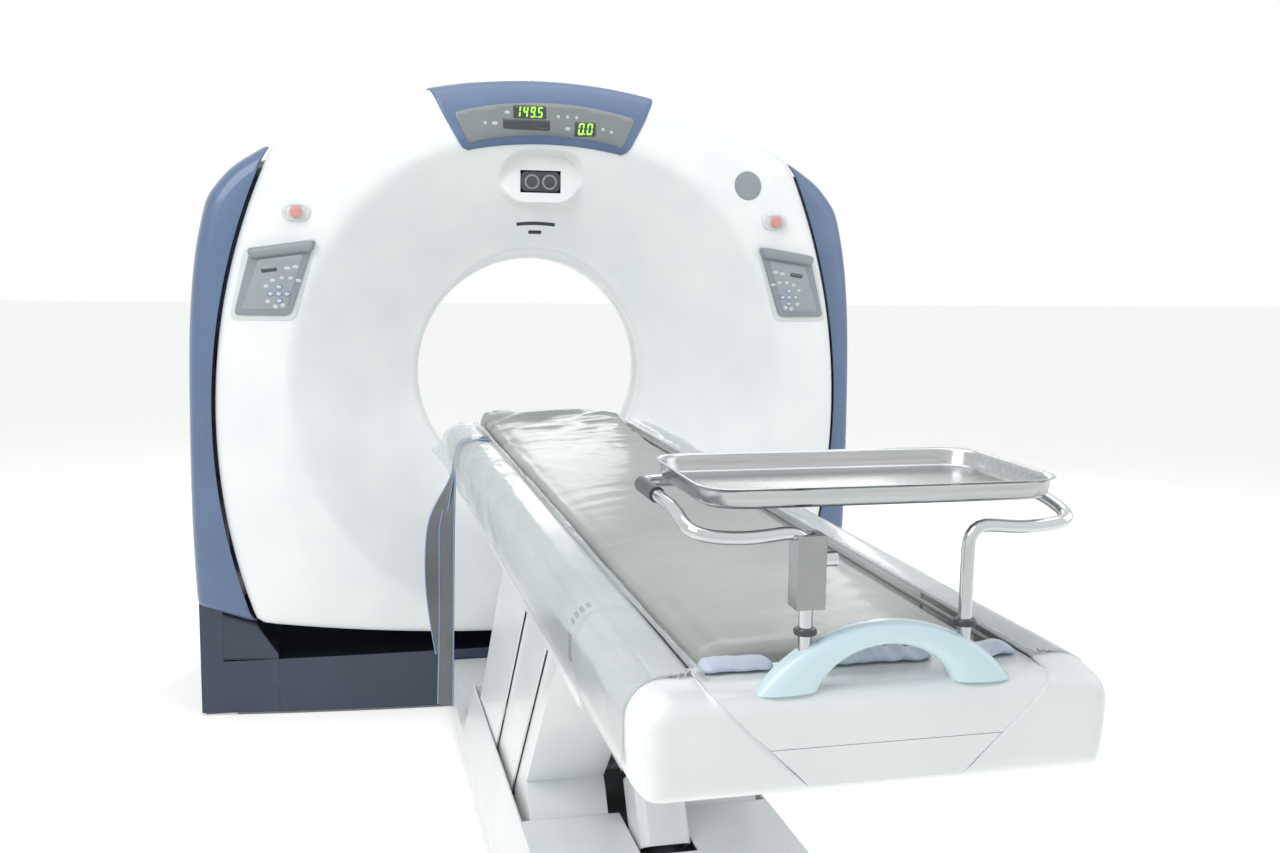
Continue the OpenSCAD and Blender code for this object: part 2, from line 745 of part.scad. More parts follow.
// Table base
module base_profile(h, inset, foot) {
    low_w = base_half_w - 15;
    top_w = h > 200 ? 262 : 274;
    polygon(concat(
        [for (p = [[low_w - 7, foot], [base_half_w - 6, 40], [base_half_w, 72],
            [base_half_w - 3, 110], [top_w, h]]) [p[0] - inset, min(p[1], h - inset)]],
        [for (p = [[top_w, h], [base_half_w - 3, 110], [base_half_w, 72],
            [base_half_w - 6, 40], [low_w - 7, foot]]) [inset - p[0], min(p[1], h - inset)]]));
}
module base_block(h, inset, foot, ends) {
    hull() for (e = ends) translate([0, -e[0], 0]) rotate([90, 0, 0]) linear_extrude(eps)
        base_profile(h - e[1] / 2, inset + e[1], foot);
}
base_head = plinth_y + seat;
act_slot_half_w = 56;
act_slot_y = 1785;
module table_base_cover() color([0.82, 0.85, 0.87]) difference() {
    union() {
        base_block(base_h, 0, 6, [[base_step_y, 0], [base_end_y - 100, 0],
            [base_end_y - 30, 14], [base_end_y, 45]]);
        base_block(base_low_h, 0, 6, [[base_head, 0], [base_step_y + 1, 0]]);
    }
    base_block(base_h, base_wall, -cut, [[base_step_y + base_wall, 0], [base_end_y - 100, 0],
        [base_end_y - 30 - base_wall, 14], [base_end_y - base_wall, 45]]);
    base_block(base_low_h, base_wall, -cut, [[base_head - cut, 0], [base_step_y + 2 * base_wall, 0]]);
    translate([-well_half_w, -well_front_y, base_low_h])
        cube([2 * well_half_w, well_front_y - base_step_y - base_wall, 200]);
    translate([-act_slot_half_w, -act_slot_y, base_low_h])
        cube([2 * act_slot_half_w, act_slot_y - well_front_y + 1, 200]);
}
module base_lug(y, half) {
    translate([lug_x, -y - half, 8]) cube([lug_t, 2 * half, pivot_z - 8]);
    translate([0, -y, pivot_z]) pin_x(half, lug_x, lug_x + lug_t);
}
module table_base_frame() color(dark) difference() {
    union() {
        translate([-232, -base_end_y + 60, 0]) cube([464, base_end_y - 60 - base_head - 5, 8]);
        both_sides() {
            translate([lug_x, -base_end_y + 60, 7]) cube([32, base_end_y - 60 - base_head - 5, 50]);
            base_lug(rear_pivot_y, 26);
            base_lug(mid_pivot_y, 22);
            base_lug(front_pivot_y, 26);
            translate([0, -mid_pivot_y, pivot_z]) pin_x(12, lug_x, mid_shroud_x + shroud_t + 1);
            translate([28, -act_y - 24, 7]) cube([12, 48, act_z - 7]);
            translate([0, -act_y, act_z]) pin_x(24, 28, 40);
            translate([lug_x, -1900, 7]) cube([base_half_w - base_wall - 15 - lug_x, 40, 30]);
            translate([lug_x, -600, 7]) cube([base_half_w - base_wall - 15 - lug_x, 40, 30]);
        }
        translate([0, -rear_pivot_y, pivot_z]) pin_x(shaft_d / 2, -lug_x - 6, lug_x + 6);
        translate([0, -front_pivot_y, pivot_z]) pin_x(shaft_d / 2, -lug_x - 6, lug_x + 6);
        translate([0, -act_y, act_z]) pin_x(act_pin_r, -35, 35);
    }
    for (x = [-120, 120], y = [-700, -1650])
        translate([x, y, -cut]) cylinder(d = anchor_d, h = 3 * cut, $fn = 48);
}

// Local frame of a leg: Y towards the gantry side, Z along the leg from its lower pivot
module on_leg(y) { translate([0, -y, pivot_z]) rotate([leg_lean, 0, 0]) children(); }
// Panel profile in leg coordinates between n0 and n1, with a level top at rest
module slat_profile(n0, n1, s0, top_z) {
    top = (top_z - pivot_z) / cos(leg_lean);
    polygon([[n0, s0], [n1, s0], [n1, top - n1 * tan(leg_lean)], [n0, top - n0 * tan(leg_lean)]]);
}
rear_n = [-118, 110];
mid_n = [-80, 80];
front_n = [0, 64];
rear_bar_s = [200, 600];
front_bar_s = [250, 600];
// Tops of the cross panels at rest, below the cradle and the rails when the table is down
rear_back_top_z = 665;
front_face_top_z = 770;
rail_notch_z = 750;
module leg_bars(x, n0, n1) both_sides()
    translate([x, n0, 0]) cube([leg_bar_w, n1 - n0, leg_len]);
module hub_bar() {
    for (s = [0, leg_len]) translate([0, 0, s]) pin_x(hub_r, -hub_half, hub_half);
}
module hub_bores() {
    for (s = [0, leg_len]) translate([0, 0, s]) pin_x(shaft_d / 2 + run, -hub_half - 1, hub_half + 1);
}
module cross_bars(half, n0, n1, places) {
    for (s = places) translate([-half, n0, s]) cube([2 * half, n1 - n0, 24]);
}
module rear_leg() color(steel) on_leg(rear_pivot_y) difference() {
    union() {
        leg_bars(rear_bar_x, -20, 20);
        hub_bar();
        cross_bars(rear_shroud_x - seat, 18, 60, rear_bar_s);
    }
    hub_bores();
}
module rear_shroud() color(white) on_leg(rear_pivot_y) {
    both_sides() yz_slab(rear_shroud_x, rear_shroud_x + shroud_t) {
        slat_profile(rear_n[0], rear_n[1], 0, slat_top_z);
        intersection() {
            circle(r = rear_n[1], $fn = round_fn);
            translate([-200, -200]) square([400, 201]);
        }
    }
    yz_slab(-rear_shroud_x - 1, rear_shroud_x + 1)
        slat_profile(rear_n[1] - shroud_t, rear_n[1], 0, rear_back_top_z);
}
module mid_shroud() color(white) on_leg(mid_pivot_y) {
    both_sides() yz_slab(mid_shroud_x, mid_shroud_x + shroud_t) difference() {
        union() {
            slat_profile(mid_n[0], mid_n[1], 0, slat_top_z - 5);
            circle(r = mid_n[1], $fn = round_fn);
        }
        circle(r = 12 + run, $fn = 48);
    }
    for (s = [300, 600]) translate([0, 40, s])
        pin_x(12, -mid_shroud_x - 1, mid_shroud_x + 1);
}
module front_leg() color(steel) on_leg(front_pivot_y) difference() {
    union() {
        leg_bars(front_bar_x, 5, 25);
        hub_bar();
        cross_bars(front_shroud_x - seat, 10, 50, front_bar_s);
        translate([-front_bar_x - leg_bar_w, 48, crank_r - 20])
            cube([2 * (front_bar_x + leg_bar_w), 16, 40]);
        both_sides() {
            translate([front_bar_x, 20, crank_r - 20]) cube([leg_bar_w, 40, 40]);
            translate([56, -14, crank_r - 14]) cube([12, 66, 28]);
        }
        translate([0, 0, crank_r]) pin_x(act_pin_r, -62, 62);
    }
    hub_bores();
}
box_angles = [42.6, 79];
module front_box() {
    a0 = box_angles[0] - leg_lean;
    a1 = box_angles[1] - leg_lean;
    intersection() {
        circle(r = box_r, $fn = 200);
        polygon([[0, 0], [-400 * sin(a0), 400 * cos(a0)], [-400 * sin((a0 + a1) / 2), 400 * cos((a0 + a1) / 2)],
            [-400 * sin(a1), 400 * cos(a1)]]);
    }
}
module front_shroud() color(white) on_leg(front_pivot_y) {
    both_sides() {
        yz_slab(front_shroud_x, front_shroud_x + shroud_t) {
            slat_profile(front_n[0], front_n[1], 60, slat_top_z - 5);
            difference() {
                front_box();
                circle(r = 60, $fn = 48);
            }
        }
        yz_slab(slot_half_w, rail_x - 2) slat_profile(front_n[0], shroud_t, 60, front_face_top_z);
        yz_slab(rail_x - 3, front_shroud_x + 1) slat_profile(front_n[0], shroud_t, 60, rail_notch_z);
        yz_slab(rail_x + rail_w + 2, front_shroud_x + 1)
            slat_profile(front_n[0], shroud_t, 60, front_face_top_z);
        yz_slab(slot_half_w, front_shroud_x + 1) difference() {
            front_box();
            circle(r = box_r - shroud_t, $fn = 200);
        }
        yz_slab(slot_half_w, slot_half_w + shroud_t) difference() {
            front_box();
            circle(r = 120, $fn = 96);
        }
    }
}

// Local frame of the actuator: Z from its lower pin to its upper pin
module on_actuator() { translate([0, -act_y, act_z]) rotate([-act_angle, 0, 0]) children(); }
module actuator_cylinder() color(dark) on_actuator() difference() {
    union() {
        translate([0, 0, 24]) cylinder(r = 40, h = 171, $fn = round_fn);
        translate([-27, -20, 0]) cube([54, 40, 30]);
        pin_x(20, -27, 27);
    }
    translate([0, 0, 30]) cylinder(r = 30 + run, h = 200, $fn = round_fn);
    pin_x(act_pin_r + run, -30, 30);
}
module actuator_stage() color(steel) on_actuator() difference() {
    translate([0, 0, 115]) cylinder(r = 30, h = 150, $fn = round_fn);
    translate([0, 0, 121]) cylinder(r = 20 + run, h = 200, $fn = round_fn);
}
module actuator_rod() color(steel) on_actuator() difference() {
    union() {
        translate([0, 0, 200]) cylinder(r = 20, h = act_len - 225, $fn = round_fn);
        translate([0, 0, act_len]) pin_x(36, -14, 14);
    }
    translate([0, 0, act_len]) pin_x(act_eye_r, -20, 20);
}
module actuator_cover() color(white) on_actuator() difference() {
    translate([0, 0, 190]) linear_extrude(act_len - 42 - 190) round_box(act_cover_w, act_cover_d, 22);
    translate([0, 0, 180]) linear_extrude(act_len - 42 - 180 - 4)
        round_box(act_cover_w - 8, act_cover_d - 8, 18);
    translate([0, 0, 180]) cylinder(r = 20 + seat, h = 300, $fn = round_fn);
}
module round_box(w, d, r) {
    square([w - 2 * r, d], center = true);
    square([w, d - 2 * r], center = true);
    for (x = [-1, 1], y = [-1, 1]) translate([x * (w / 2 - r), y * (d / 2 - r)]) circle(r = r, $fn = 48);
}

// Table top
module side_profile(inset) {
    x1 = side_half_w - inset;
    top = side_top_z - inset;
    r = side_round;
    polygon([[seam_x - eps, side_bottom_z], [side_half_w - 10 - inset, side_bottom_z],
        [x1, side_mid_z], [x1, side_top_z - r], [side_half_w - r, top], [seam_x - eps, top]]);
    translate([side_half_w - r, side_top_z - r]) circle(r = r - inset, $fn = round_fn);
}
module side_cover() xz_slab(-cap_seam_y + seat, -side_head_y) difference() {
    intersection() {
        side_profile(0);
        translate([seam_x, 0]) square([200, 2000]);
    }
    difference() {
        translate([seam_x + side_wall, side_bottom_z - 1]) square([200, 2000]);
        translate([seam_x, 0]) difference() {
            square([200, 2000]);
            translate([-seam_x, 0]) side_profile(side_wall);
        }
    }
    translate([seam_x - 1, side_bottom_z - 1]) square([side_wall + 2, side_top_z - side_bottom_z - 34]);
}
module side_cover_left() color(white) mirror([1, 0, 0]) side_cover();
module side_cover_right() color(white) side_cover();
module table_frame() color(steel) difference() {
    union() {
        both_sides() translate([rail_x, -table_end_y + 32, rail_top - rail_h])
            cube([rail_w, table_end_y - 32 - side_head_y - 20, rail_h]);
        for (y = [520, 1100, 2400]) translate([-rail_x - 1, -y - 20, rail_top - rail_h])
            cube([2 * rail_x + 2, 40, 30]);
        translate([-rail_x - 1, seat - cradle_foot_y, rail_top - rail_h + 12])
            cube([2 * rail_x + 2, 40, 30]);
        for (y = [rear_top_y, front_top_y]) translate([0, -y, top_pivot_z])
            pin_x(shaft_d / 2, -rail_x - 8, rail_x + 8);
        both_sides() for (y = [600, 2290]) intersection() {
            translate([rail_x + 1, -y - 20, rail_top - rail_h + 8]) cube([120, 40, 14]);
            xz_slab(-y - 30, -y + 30) side_profile(side_wall + seat);
        }
    }
}
foot_outline = [[side_half_w, side_mid_z], [side_half_w, side_top_z - side_round * 0.7],
    [side_half_w - side_round * 0.3, side_top_z - side_round * 0.3],
    [side_half_w - side_round * 0.7, side_top_z], [-side_half_w + side_round * 0.7, side_top_z],
    [-side_half_w + side_round * 0.3, side_top_z - side_round * 0.3],
    [-side_half_w, side_top_z - side_round * 0.7], [-side_half_w, side_mid_z],
    [10 - side_half_w, side_bottom_z + 9], [side_half_w - 10, side_bottom_z + 9]];
foot_mid = [0, (side_top_z + side_bottom_z + 9) / 2];
// Distance from the foot cap's middle to its edge in direction d
foot_ray = function (d, inset) soft_min([for (i = [0 : len(foot_outline) - 1])
    let (p = foot_outline[i] - foot_mid, q = foot_outline[(i + 1) % len(foot_outline)] - foot_mid,
        e = q - p, n = [e[1], -e[0]] / norm(e), f = d * n)
    f * (p * n) > 0 ? (abs(p * n) - inset) / abs(f) : 5000], foot_soft);
module foot_block(inset, y0) {
    loft(foot_ray, foot_mid, concat(
        [for (e = [[0, 26], [7, 14], [22, 5], [50, 1], [80, 0]])
            [e[0] + inset - table_end_y, e[1] + inset]], [[y0, inset]]), foot_points);
}
module foot_cap() color(white) difference() {
    foot_block(0, -cap_seam_y);
    foot_block(side_wall, -cap_seam_y + cut);
    xz_slab(-table_end_y - cut, -cap_seam_y + 2 * cut) polygon([[-seam_x, 1000], [seam_x, 1000],
        [seam_x, rail_top], [foot_half_w, foot_mouth_z], [-foot_half_w, foot_mouth_z], [-seam_x, rail_top]]);
}
module foot_cover() color(white) xz_slab(-table_end_y + 8, -cradle_foot_y) polygon([
    [-rail_x + seat, rail_top - 2], [rail_x - seat, rail_top - 2],
    [foot_half_w - 4, foot_mouth_z + 3], [4 - foot_half_w, foot_mouth_z + 3]]);
module cradle_motor() color(dark) {
    translate([-60, -1128, rail_top - rail_h - 50]) cube([120, 110, 50 - seat]);
    translate([0, -1073, rail_top - rail_h - 25]) pin_x(20, 55, 150);
}
module film_skirts() color([0.85, 0.88, 0.9, 0.4]) both_sides()
    xz_slab(-table_end_y + 22, -side_head_y - 20) difference() {
        intersection() {
            side_profile(-film_gap - film_t);
            translate([seam_x - 2, 790]) square([200, 300]);
        }
        side_profile(-film_gap);
        translate([seam_x - 10, 0]) square([11, side_top_z + film_gap]);
    }
film_gap = 1;
film_t = 1.5;
strap_path = [[217, 903.2], [262, 903.2], [293.5, 893], [304.2, 858], [307.5, 820], [314, 190]];
module strap() color(dark) mirror([1, 0, 0]) xz_slab(-770, -720) polygon(concat(
    strap_path, [for (i = [len(strap_path) - 1 : -1 : 0]) strap_path[i] + (i > 2 ? [2, 0] : [0.7, 2])]));

module cradle() color([0.85, 0.87, 0.88]) xz_slab(-cradle_foot_y, -cradle_head_y) difference() {
    translate([-cradle_half_w, cradle_bottom]) square([2 * cradle_half_w, cradle_t]);
    for (s = [-1, 1]) translate([s * cradle_half_w - 8, cradle_bottom + 14]) square([16, 8]);
}
module cradle_foot() color(white) hull() {
    xz_slab(-table_end_y + 34, -cradle_foot_y - seat)
        translate([3 - cradle_half_w, cradle_bottom]) square([2 * cradle_half_w - 6, foot_top - cradle_bottom]);
    xz_slab(-table_end_y, -table_end_y + 1)
        translate([25 - cradle_half_w, cradle_bottom + 12]) square([2 * cradle_half_w - 50, 42]);
}
function arch_r(w, h) = (w * w + h * h) / (2 * h);
module arch(w, h) {
    intersection() {
        translate([0, foot_top + h - arch_r(w, h)]) circle(r = arch_r(w, h), $fn = round_fn);
        translate([-w, foot_top]) square([2 * w, h + 1]);
    }
}
module handle() color([0.8, 0.87, 0.91]) difference() {
    xz_slab(-post_y - handle_t / 2, -post_y + handle_t / 2) translate([0, seat]) difference() {
        arch(handle_half_w, handle_h + 5);
        translate([0, -1]) arch(grip_half_w, grip_h + 5);
    }
    for (s = [-1, 1]) translate([s * post_x, -post_y, foot_top + 8])
        cylinder(r = rod_d / 2 + run, h = 200, $fn = 48);
}
module mattress() color([0.62, 0.65, 0.6])
    yz_slab(-mattress_half_w, mattress_half_w) polygon([
        [-cradle_head_y + 10, cradle_z + seat], [-cradle_head_y + 10, cradle_z + mattress_t + 6],
        [-cradle_head_y - 30, cradle_z + mattress_t + 26], [-cradle_head_y - 110, cradle_z + mattress_t + 34],
        [-cradle_head_y - 260, cradle_z + mattress_t + 10], [-cradle_head_y - 560, cradle_z + mattress_t],
        [-cradle_foot_y + 9, cradle_z + mattress_t - 5], [-cradle_foot_y + 9, cradle_z + seat]]);
module rod_y(y0, y1) {
    translate([0, y1, 0]) rotate([90, 0, 0]) cylinder(d = rod_d, h = y1 - y0, $fn = 48);
}
module tray_frame() color(steel) {
    rail_half = tray_half_w + 15;
    for (s = [-1, 1]) translate([s * post_x, -post_y, foot_top + 9])
        cylinder(d = rod_d, h = tray_z - foot_top - 9, $fn = 48);
    translate([0, 0, tray_z]) {
        for (y = [post_y, post_y - tray_len + 15]) translate([0, -y, 0]) pin_x(rod_d / 2, -rail_half, rail_half);
        for (s = [-1, 1]) translate([s * rail_half, 0, 0]) rod_y(-post_y, -post_y + tray_len - 15);
        for (s = [-1, 1], y = [post_y, post_y - tray_len + 15])
            translate([s * rail_half, -y, 0]) sphere(d = rod_d, $fn = 48);
    }
}
module tray() color([0.7, 0.71, 0.72]) translate([0, -post_y - rod_d / 2, tray_z + rod_d / 2 + seat])
    difference() {
        translate([-tray_half_w, 0, 0]) cube([2 * tray_half_w, tray_len, tray_depth]);
        translate([tray_wall - tray_half_w, tray_wall, tray_wall])
            cube([2 * (tray_half_w - tray_wall), tray_len - 2 * tray_wall, tray_depth]);
    }
module clamp_block() color(grey) difference() {
    translate([-post_x - 17, -post_y - 16, cradle_z + 125]) cube([34, 30, 85]);
    translate([-post_x, -post_y, cradle_z + 100]) cylinder(r = rod_d / 2 + run, h = 200, $fn = 48);
}

gantry_base_frame();
stand_left();
stand_right();
tilt_gearbox();
side_cowl_left();
side_cowl_right();
plinth_front();
plinth_ends();
plinth_rear();
table_base_frame();
table_base_cover();
tilt_frame();
bearing_race();
front_cover();
rear_cover();
display_bezel();
display_lens();
bore_liner();
scan_window();
control_panel_left();
control_panel_right();
keypads();
estop_bezels();
light_pod();
drive_motor();
drive_belt();
rotor_ring();
xray_tube();
collimator();
detector();
hv_tank();
slip_ring();
counterweight();
motor_pulley();
estop_button_left();
estop_button_right();
rear_leg();
rear_shroud();
mid_shroud();
front_leg();
front_shroud();
actuator_cylinder();
actuator_stage();
actuator_rod();
actuator_cover();
table_frame();
side_cover_left();
side_cover_right();
foot_cap();
foot_cover();
cradle_motor();
film_skirts();
strap();
cradle();
cradle_foot();
handle();
mattress();
tray_frame();
tray();
clamp_block();
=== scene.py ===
"""Looks of the CT scanner: finishes, smooth covers, film, pad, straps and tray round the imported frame."""

from math import atan2, ceil, copysign, cos, hypot, pi, radians, sin, sqrt

import bmesh
import bpy
import numpy as np
from mathutils import Matrix, Vector, geometry, noise


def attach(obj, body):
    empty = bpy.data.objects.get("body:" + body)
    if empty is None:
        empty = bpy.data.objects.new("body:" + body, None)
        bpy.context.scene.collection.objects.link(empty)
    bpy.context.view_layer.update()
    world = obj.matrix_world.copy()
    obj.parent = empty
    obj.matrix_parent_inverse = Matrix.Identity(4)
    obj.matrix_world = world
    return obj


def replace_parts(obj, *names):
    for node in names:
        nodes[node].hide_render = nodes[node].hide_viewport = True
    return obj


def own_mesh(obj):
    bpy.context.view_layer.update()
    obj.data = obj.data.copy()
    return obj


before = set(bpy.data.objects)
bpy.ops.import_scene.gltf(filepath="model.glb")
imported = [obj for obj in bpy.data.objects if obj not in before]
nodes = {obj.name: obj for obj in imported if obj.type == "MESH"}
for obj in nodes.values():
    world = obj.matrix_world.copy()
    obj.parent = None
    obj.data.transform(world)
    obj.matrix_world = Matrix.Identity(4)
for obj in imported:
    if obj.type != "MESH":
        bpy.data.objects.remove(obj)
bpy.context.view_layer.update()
scene = bpy.context.scene


def placed(name, data):
    """New object in the scene."""
    ob = bpy.data.objects.new(name, data)
    scene.collection.objects.link(ob)
    return ob


# Camera at the photograph's viewing point, in metres and degrees
CAMERA_AT = Vector((-0.626, -4.010, 1.386))
YAW, PITCH, ROLL = (radians(a) for a in (13.96, 7.77, -0.87))
forward = Vector((sin(YAW) * cos(PITCH), cos(YAW) * cos(PITCH), -sin(PITCH)))
level = Vector((cos(YAW), -sin(YAW), 0))
down = forward.cross(level)
right = level * cos(ROLL) + down * sin(ROLL)
down = down * cos(ROLL) - level * sin(ROLL)
camera = placed("camera", bpy.data.cameras.new("camera"))
camera.data.lens = 35.78
camera.data.clip_start, camera.data.clip_end = 0.05, 60
camera.matrix_world = Matrix(((right.x, -down.x, -forward.x, CAMERA_AT.x),
                              (right.y, -down.y, -forward.y, CAMERA_AT.y),
                              (right.z, -down.z, -forward.z, CAMERA_AT.z), (0, 0, 0, 1)))
scene.camera = camera


# Finishes

def finish_of(name, low, high, rough=(0.3, 0.4), grain=60, bump=0.03, bump_scale=900, metal=0.0,
              coat=0.0, alpha=1.0, glow=0.0, edge=0.0, stretch=(1, 1, 1), sheen=0.0, specular=0.5,
              tint_scale=6):
    """Procedural finish: colour and roughness drift between two values each, with a fine bump."""
    m = bpy.data.materials.new(name)
    m.use_nodes = True
    tree = m.node_tree
    shader = tree.nodes["Principled BSDF"]

    def add(kind, **values):
        n = tree.nodes.new("ShaderNode" + kind)
        for key, value in values.items():
            if key in n.inputs.keys():
                n.inputs[key].default_value = value
            else:
                setattr(n, key, value)
        return n

    def join(a, out, b, into):
        tree.links.new(a.outputs[out], b.inputs[into])

    place, scale = add("TexCoord"), add("Mapping", Scale=stretch)
    drift, ramp = add("TexNoise", Scale=tint_scale, Detail=3.0), add("ValToRGB")
    for element, at, colour in zip(ramp.color_ramp.elements, (0.3, 0.7), (low, high)):
        element.position, element.color = at, (*linear(colour), 1)
    mottle = add("TexNoise", Scale=grain, Detail=4.0)
    spread = add("MapRange", **{"To Min": rough[0], "To Max": rough[1]})
    join(place, "Object", scale, "Vector")
    join(scale, "Vector", drift, "Vector")
    join(drift, "Fac", ramp, "Fac")
    join(ramp, "Color", shader, "Base Color")
    join(scale, "Vector", mottle, "Vector")
    join(mottle, "Fac", spread, "Value")
    join(spread, "Result", shader, "Roughness")
    if bump:
        fine = add("TexNoise", Scale=bump_scale, Detail=2.0)
        relief = add("Bump", Strength=bump, Distance=0.001)
        join(scale, "Vector", fine, "Vector")
        join(fine, "Fac", relief, "Height")
        join(relief, "Normal", shader, "Normal")
        if edge:
            join(add("Bevel", samples=4, Radius=edge), "Normal", relief, "Normal")
    for socket, value in (("Metallic", metal), ("Coat Weight", coat), ("Coat Roughness", 0.12),
                          ("Sheen Weight", sheen), ("Alpha", alpha), ("Specular IOR Level", specular)):
        shader.inputs[socket].default_value = value
    if glow:
        shader.inputs["Emission Color"].default_value = (*linear(high), 1)
        shader.inputs["Emission Strength"].default_value = glow
    return m


def linear(rgb):
    """Linear colour of an sRGB colour written with values from 0 to 255."""
    return [v / 255 / 12.92 if v <= 10 else ((v / 255 + 0.055) / 1.055) ** 2.4 for v in rgb]


WHITE = finish_of("white_cover", (226, 230, 231), (233, 236, 236), (0.28, 0.36), coat=0.25)
WHITE_CAD = finish_of("white_panel", (222, 226, 227), (230, 233, 233), coat=0.2, edge=0.002)
BLUE = finish_of("cowl_blue", (86, 106, 138), (94, 114, 146), bump=0.06, coat=0.25)
DARK_BLUE = finish_of("plinth_blue", (40, 49, 69), (46, 56, 77), (0.34, 0.46), bump=0.08, coat=0.2,
                      edge=0.003)
WELL = finish_of("plinth_top_blue", (40, 48, 67), (46, 55, 76), (0.8, 0.9), bump=0.08, specular=0.1)
LENS = finish_of("display_lens", (118, 124, 126), (126, 132, 133), (0.16, 0.24), bump=0.01, coat=0.5)
PANEL = finish_of("panel_grey", (130, 139, 144), (140, 149, 153), (0.36, 0.46), bump=0.08)
FILM_KEYS = finish_of("key_film", (142, 150, 155), (152, 160, 164), (0.32, 0.4), bump=0.04, coat=0.2)
KEY = finish_of("keys", (188, 195, 196), (198, 204, 204))
KEY_BLUE = finish_of("key_ring_blue", (84, 112, 168), (96, 124, 178))
DARK = finish_of("dark_plastic", (52, 57, 62), (64, 70, 75), (0.3, 0.45), bump=0.1)
GLASS = finish_of("dark_window", (40, 44, 48), (54, 58, 62), (0.08, 0.14), bump=0.005, coat=0.8)
ICON = finish_of("icons", (176, 184, 184), (188, 195, 195), (0.4, 0.5), bump=0.02)
LED = finish_of("led_green", (120, 220, 40), (150, 235, 70), (0.4, 0.5), bump=0.0, glow=1.1)
RED = finish_of("stop_red", (204, 142, 138), (212, 153, 149))
PAD_GREY = finish_of("stop_pad", (206, 212, 213), (214, 219, 219), coat=0.2)
STEEL = finish_of("painted_steel", (118, 122, 126), (130, 134, 138), (0.42, 0.58), metal=0.2, bump=0.1,
                  edge=0.001)
BARE = finish_of("machined_steel", (164, 166, 168), (178, 180, 182), (0.26, 0.4), metal=1.0, bump=0.06,
                 grain=200, edge=0.001)
IRON = finish_of("cast_iron", (50, 53, 57), (60, 63, 68), (0.5, 0.65), metal=0.3, bump=0.3,
                 bump_scale=400, edge=0.001)
COPPER = finish_of("slip_copper", (176, 112, 74), (196, 134, 92), (0.3, 0.42), metal=1.0, bump=0.05)
RUBBER = finish_of("belt_rubber", (30, 31, 33), (40, 41, 43), (0.6, 0.75), bump=0.3)
WINDOW = finish_of("scan_window", (196, 202, 202), (206, 211, 211), (0.1, 0.18), bump=0.01, coat=0.4)
CARBON = finish_of("carbon_cradle", (196, 201, 203), (208, 212, 213), (0.3, 0.42), bump=0.05, coat=0.2,
                   edge=0.002)
CHROME = finish_of("chrome_tube", (196, 198, 200), (208, 210, 212), (0.05, 0.1), metal=1.0, bump=0.004)
STAINLESS = finish_of("stainless", (172, 174, 175), (188, 190, 191), (0.16, 0.28), metal=1.0, bump=0.05,
                      stretch=(1, 30, 30), bump_scale=60)
AQUA = finish_of("handle_aqua", (206, 229, 237), (213, 234, 241), (0.26, 0.34), coat=0.3)
VINYL = finish_of("satin_vinyl", (134, 139, 137), (150, 155, 152), (0.32, 0.46), bump=0.10,
                  bump_scale=260, coat=0.22, tint_scale=4)
LINING = finish_of("pale_blue_lining", (198, 211, 228), (210, 221, 234), (0.5, 0.6), bump=0.3, sheen=0.3,
                   bump_scale=500)
FILM = finish_of("clear_film", (200, 206, 208), (214, 219, 220), (0.16, 0.28), bump=0.12, bump_scale=40,
                 coat=0.35, alpha=0.40)
WEBBING = finish_of("strap_webbing", (86, 88, 90), (104, 106, 108), (0.7, 0.85), bump=0.6,
                    bump_scale=700, sheen=0.2)
WEB_EDGE = finish_of("strap_edge_blue", (120, 142, 174), (138, 160, 190), (0.6, 0.75), bump=0.4,
                     bump_scale=700)
# Tilt frame: dark navy, partly the frame's own paint and partly painted shade, darkened to match the shade
# under the tilting cover
FRAME_NAVY_AND_SHADE = finish_of("navy_frame_and_painted_shade", (44, 51, 70), (52, 60, 80), (0.45, 0.6), bump=0.15, edge=0.001)
CLAMP = finish_of("clamp_block", (152, 153, 154), (168, 169, 170), (0.12, 0.2), metal=1.0, bump=0.1,
                  edge=0.002)

# Finish, slot and nodes of the CAD pieces that stay in view
CAD_FINISH = (
    (STEEL, "frame_steel", "gantry_base_frame stand_left stand_right table_base_frame xray_tube hv_tank "
                           "rear_leg front_leg table_frame"),
    # Tilt frame in the navy that carries painted shade
    (FRAME_NAVY_AND_SHADE, "frame_steel", "tilt_frame"),
    (IRON, "cast_iron", "tilt_gearbox drive_motor collimator detector counterweight actuator_cylinder "
                        "cradle_motor"),
    (BARE, "machined_steel", "bearing_race rotor_ring motor_pulley actuator_stage actuator_rod"),
    (COPPER, "copper", "slip_ring"), (RUBBER, "belt", "drive_belt"), (CARBON, "carbon", "cradle"),
    (WHITE, "housing", "bore_liner"), (WINDOW, "window", "scan_window"), (DARK, "dark_window", "light_pod"),
    (DARK_BLUE, "base_blue", "plinth_front plinth_ends plinth_rear"),
    (WHITE_CAD, "table_cover", "table_base_cover rear_shroud mid_shroud front_shroud actuator_cover "
                               "side_cover_left side_cover_right"),
    (CLAMP, "panel_grey", "clamp_block"),
)
for material, slot, names in CAD_FINISH:
    for name in names.split():
        node = nodes[name]
        node.data.materials.clear()
        node.data.materials.append(material)
        if name != "clamp_block":
            node.data.shade_smooth()
            node.data.set_sharp_from_angle(angle=radians(28))

# Mesh helpers

SIDES = (("left", -1), ("right", 1))


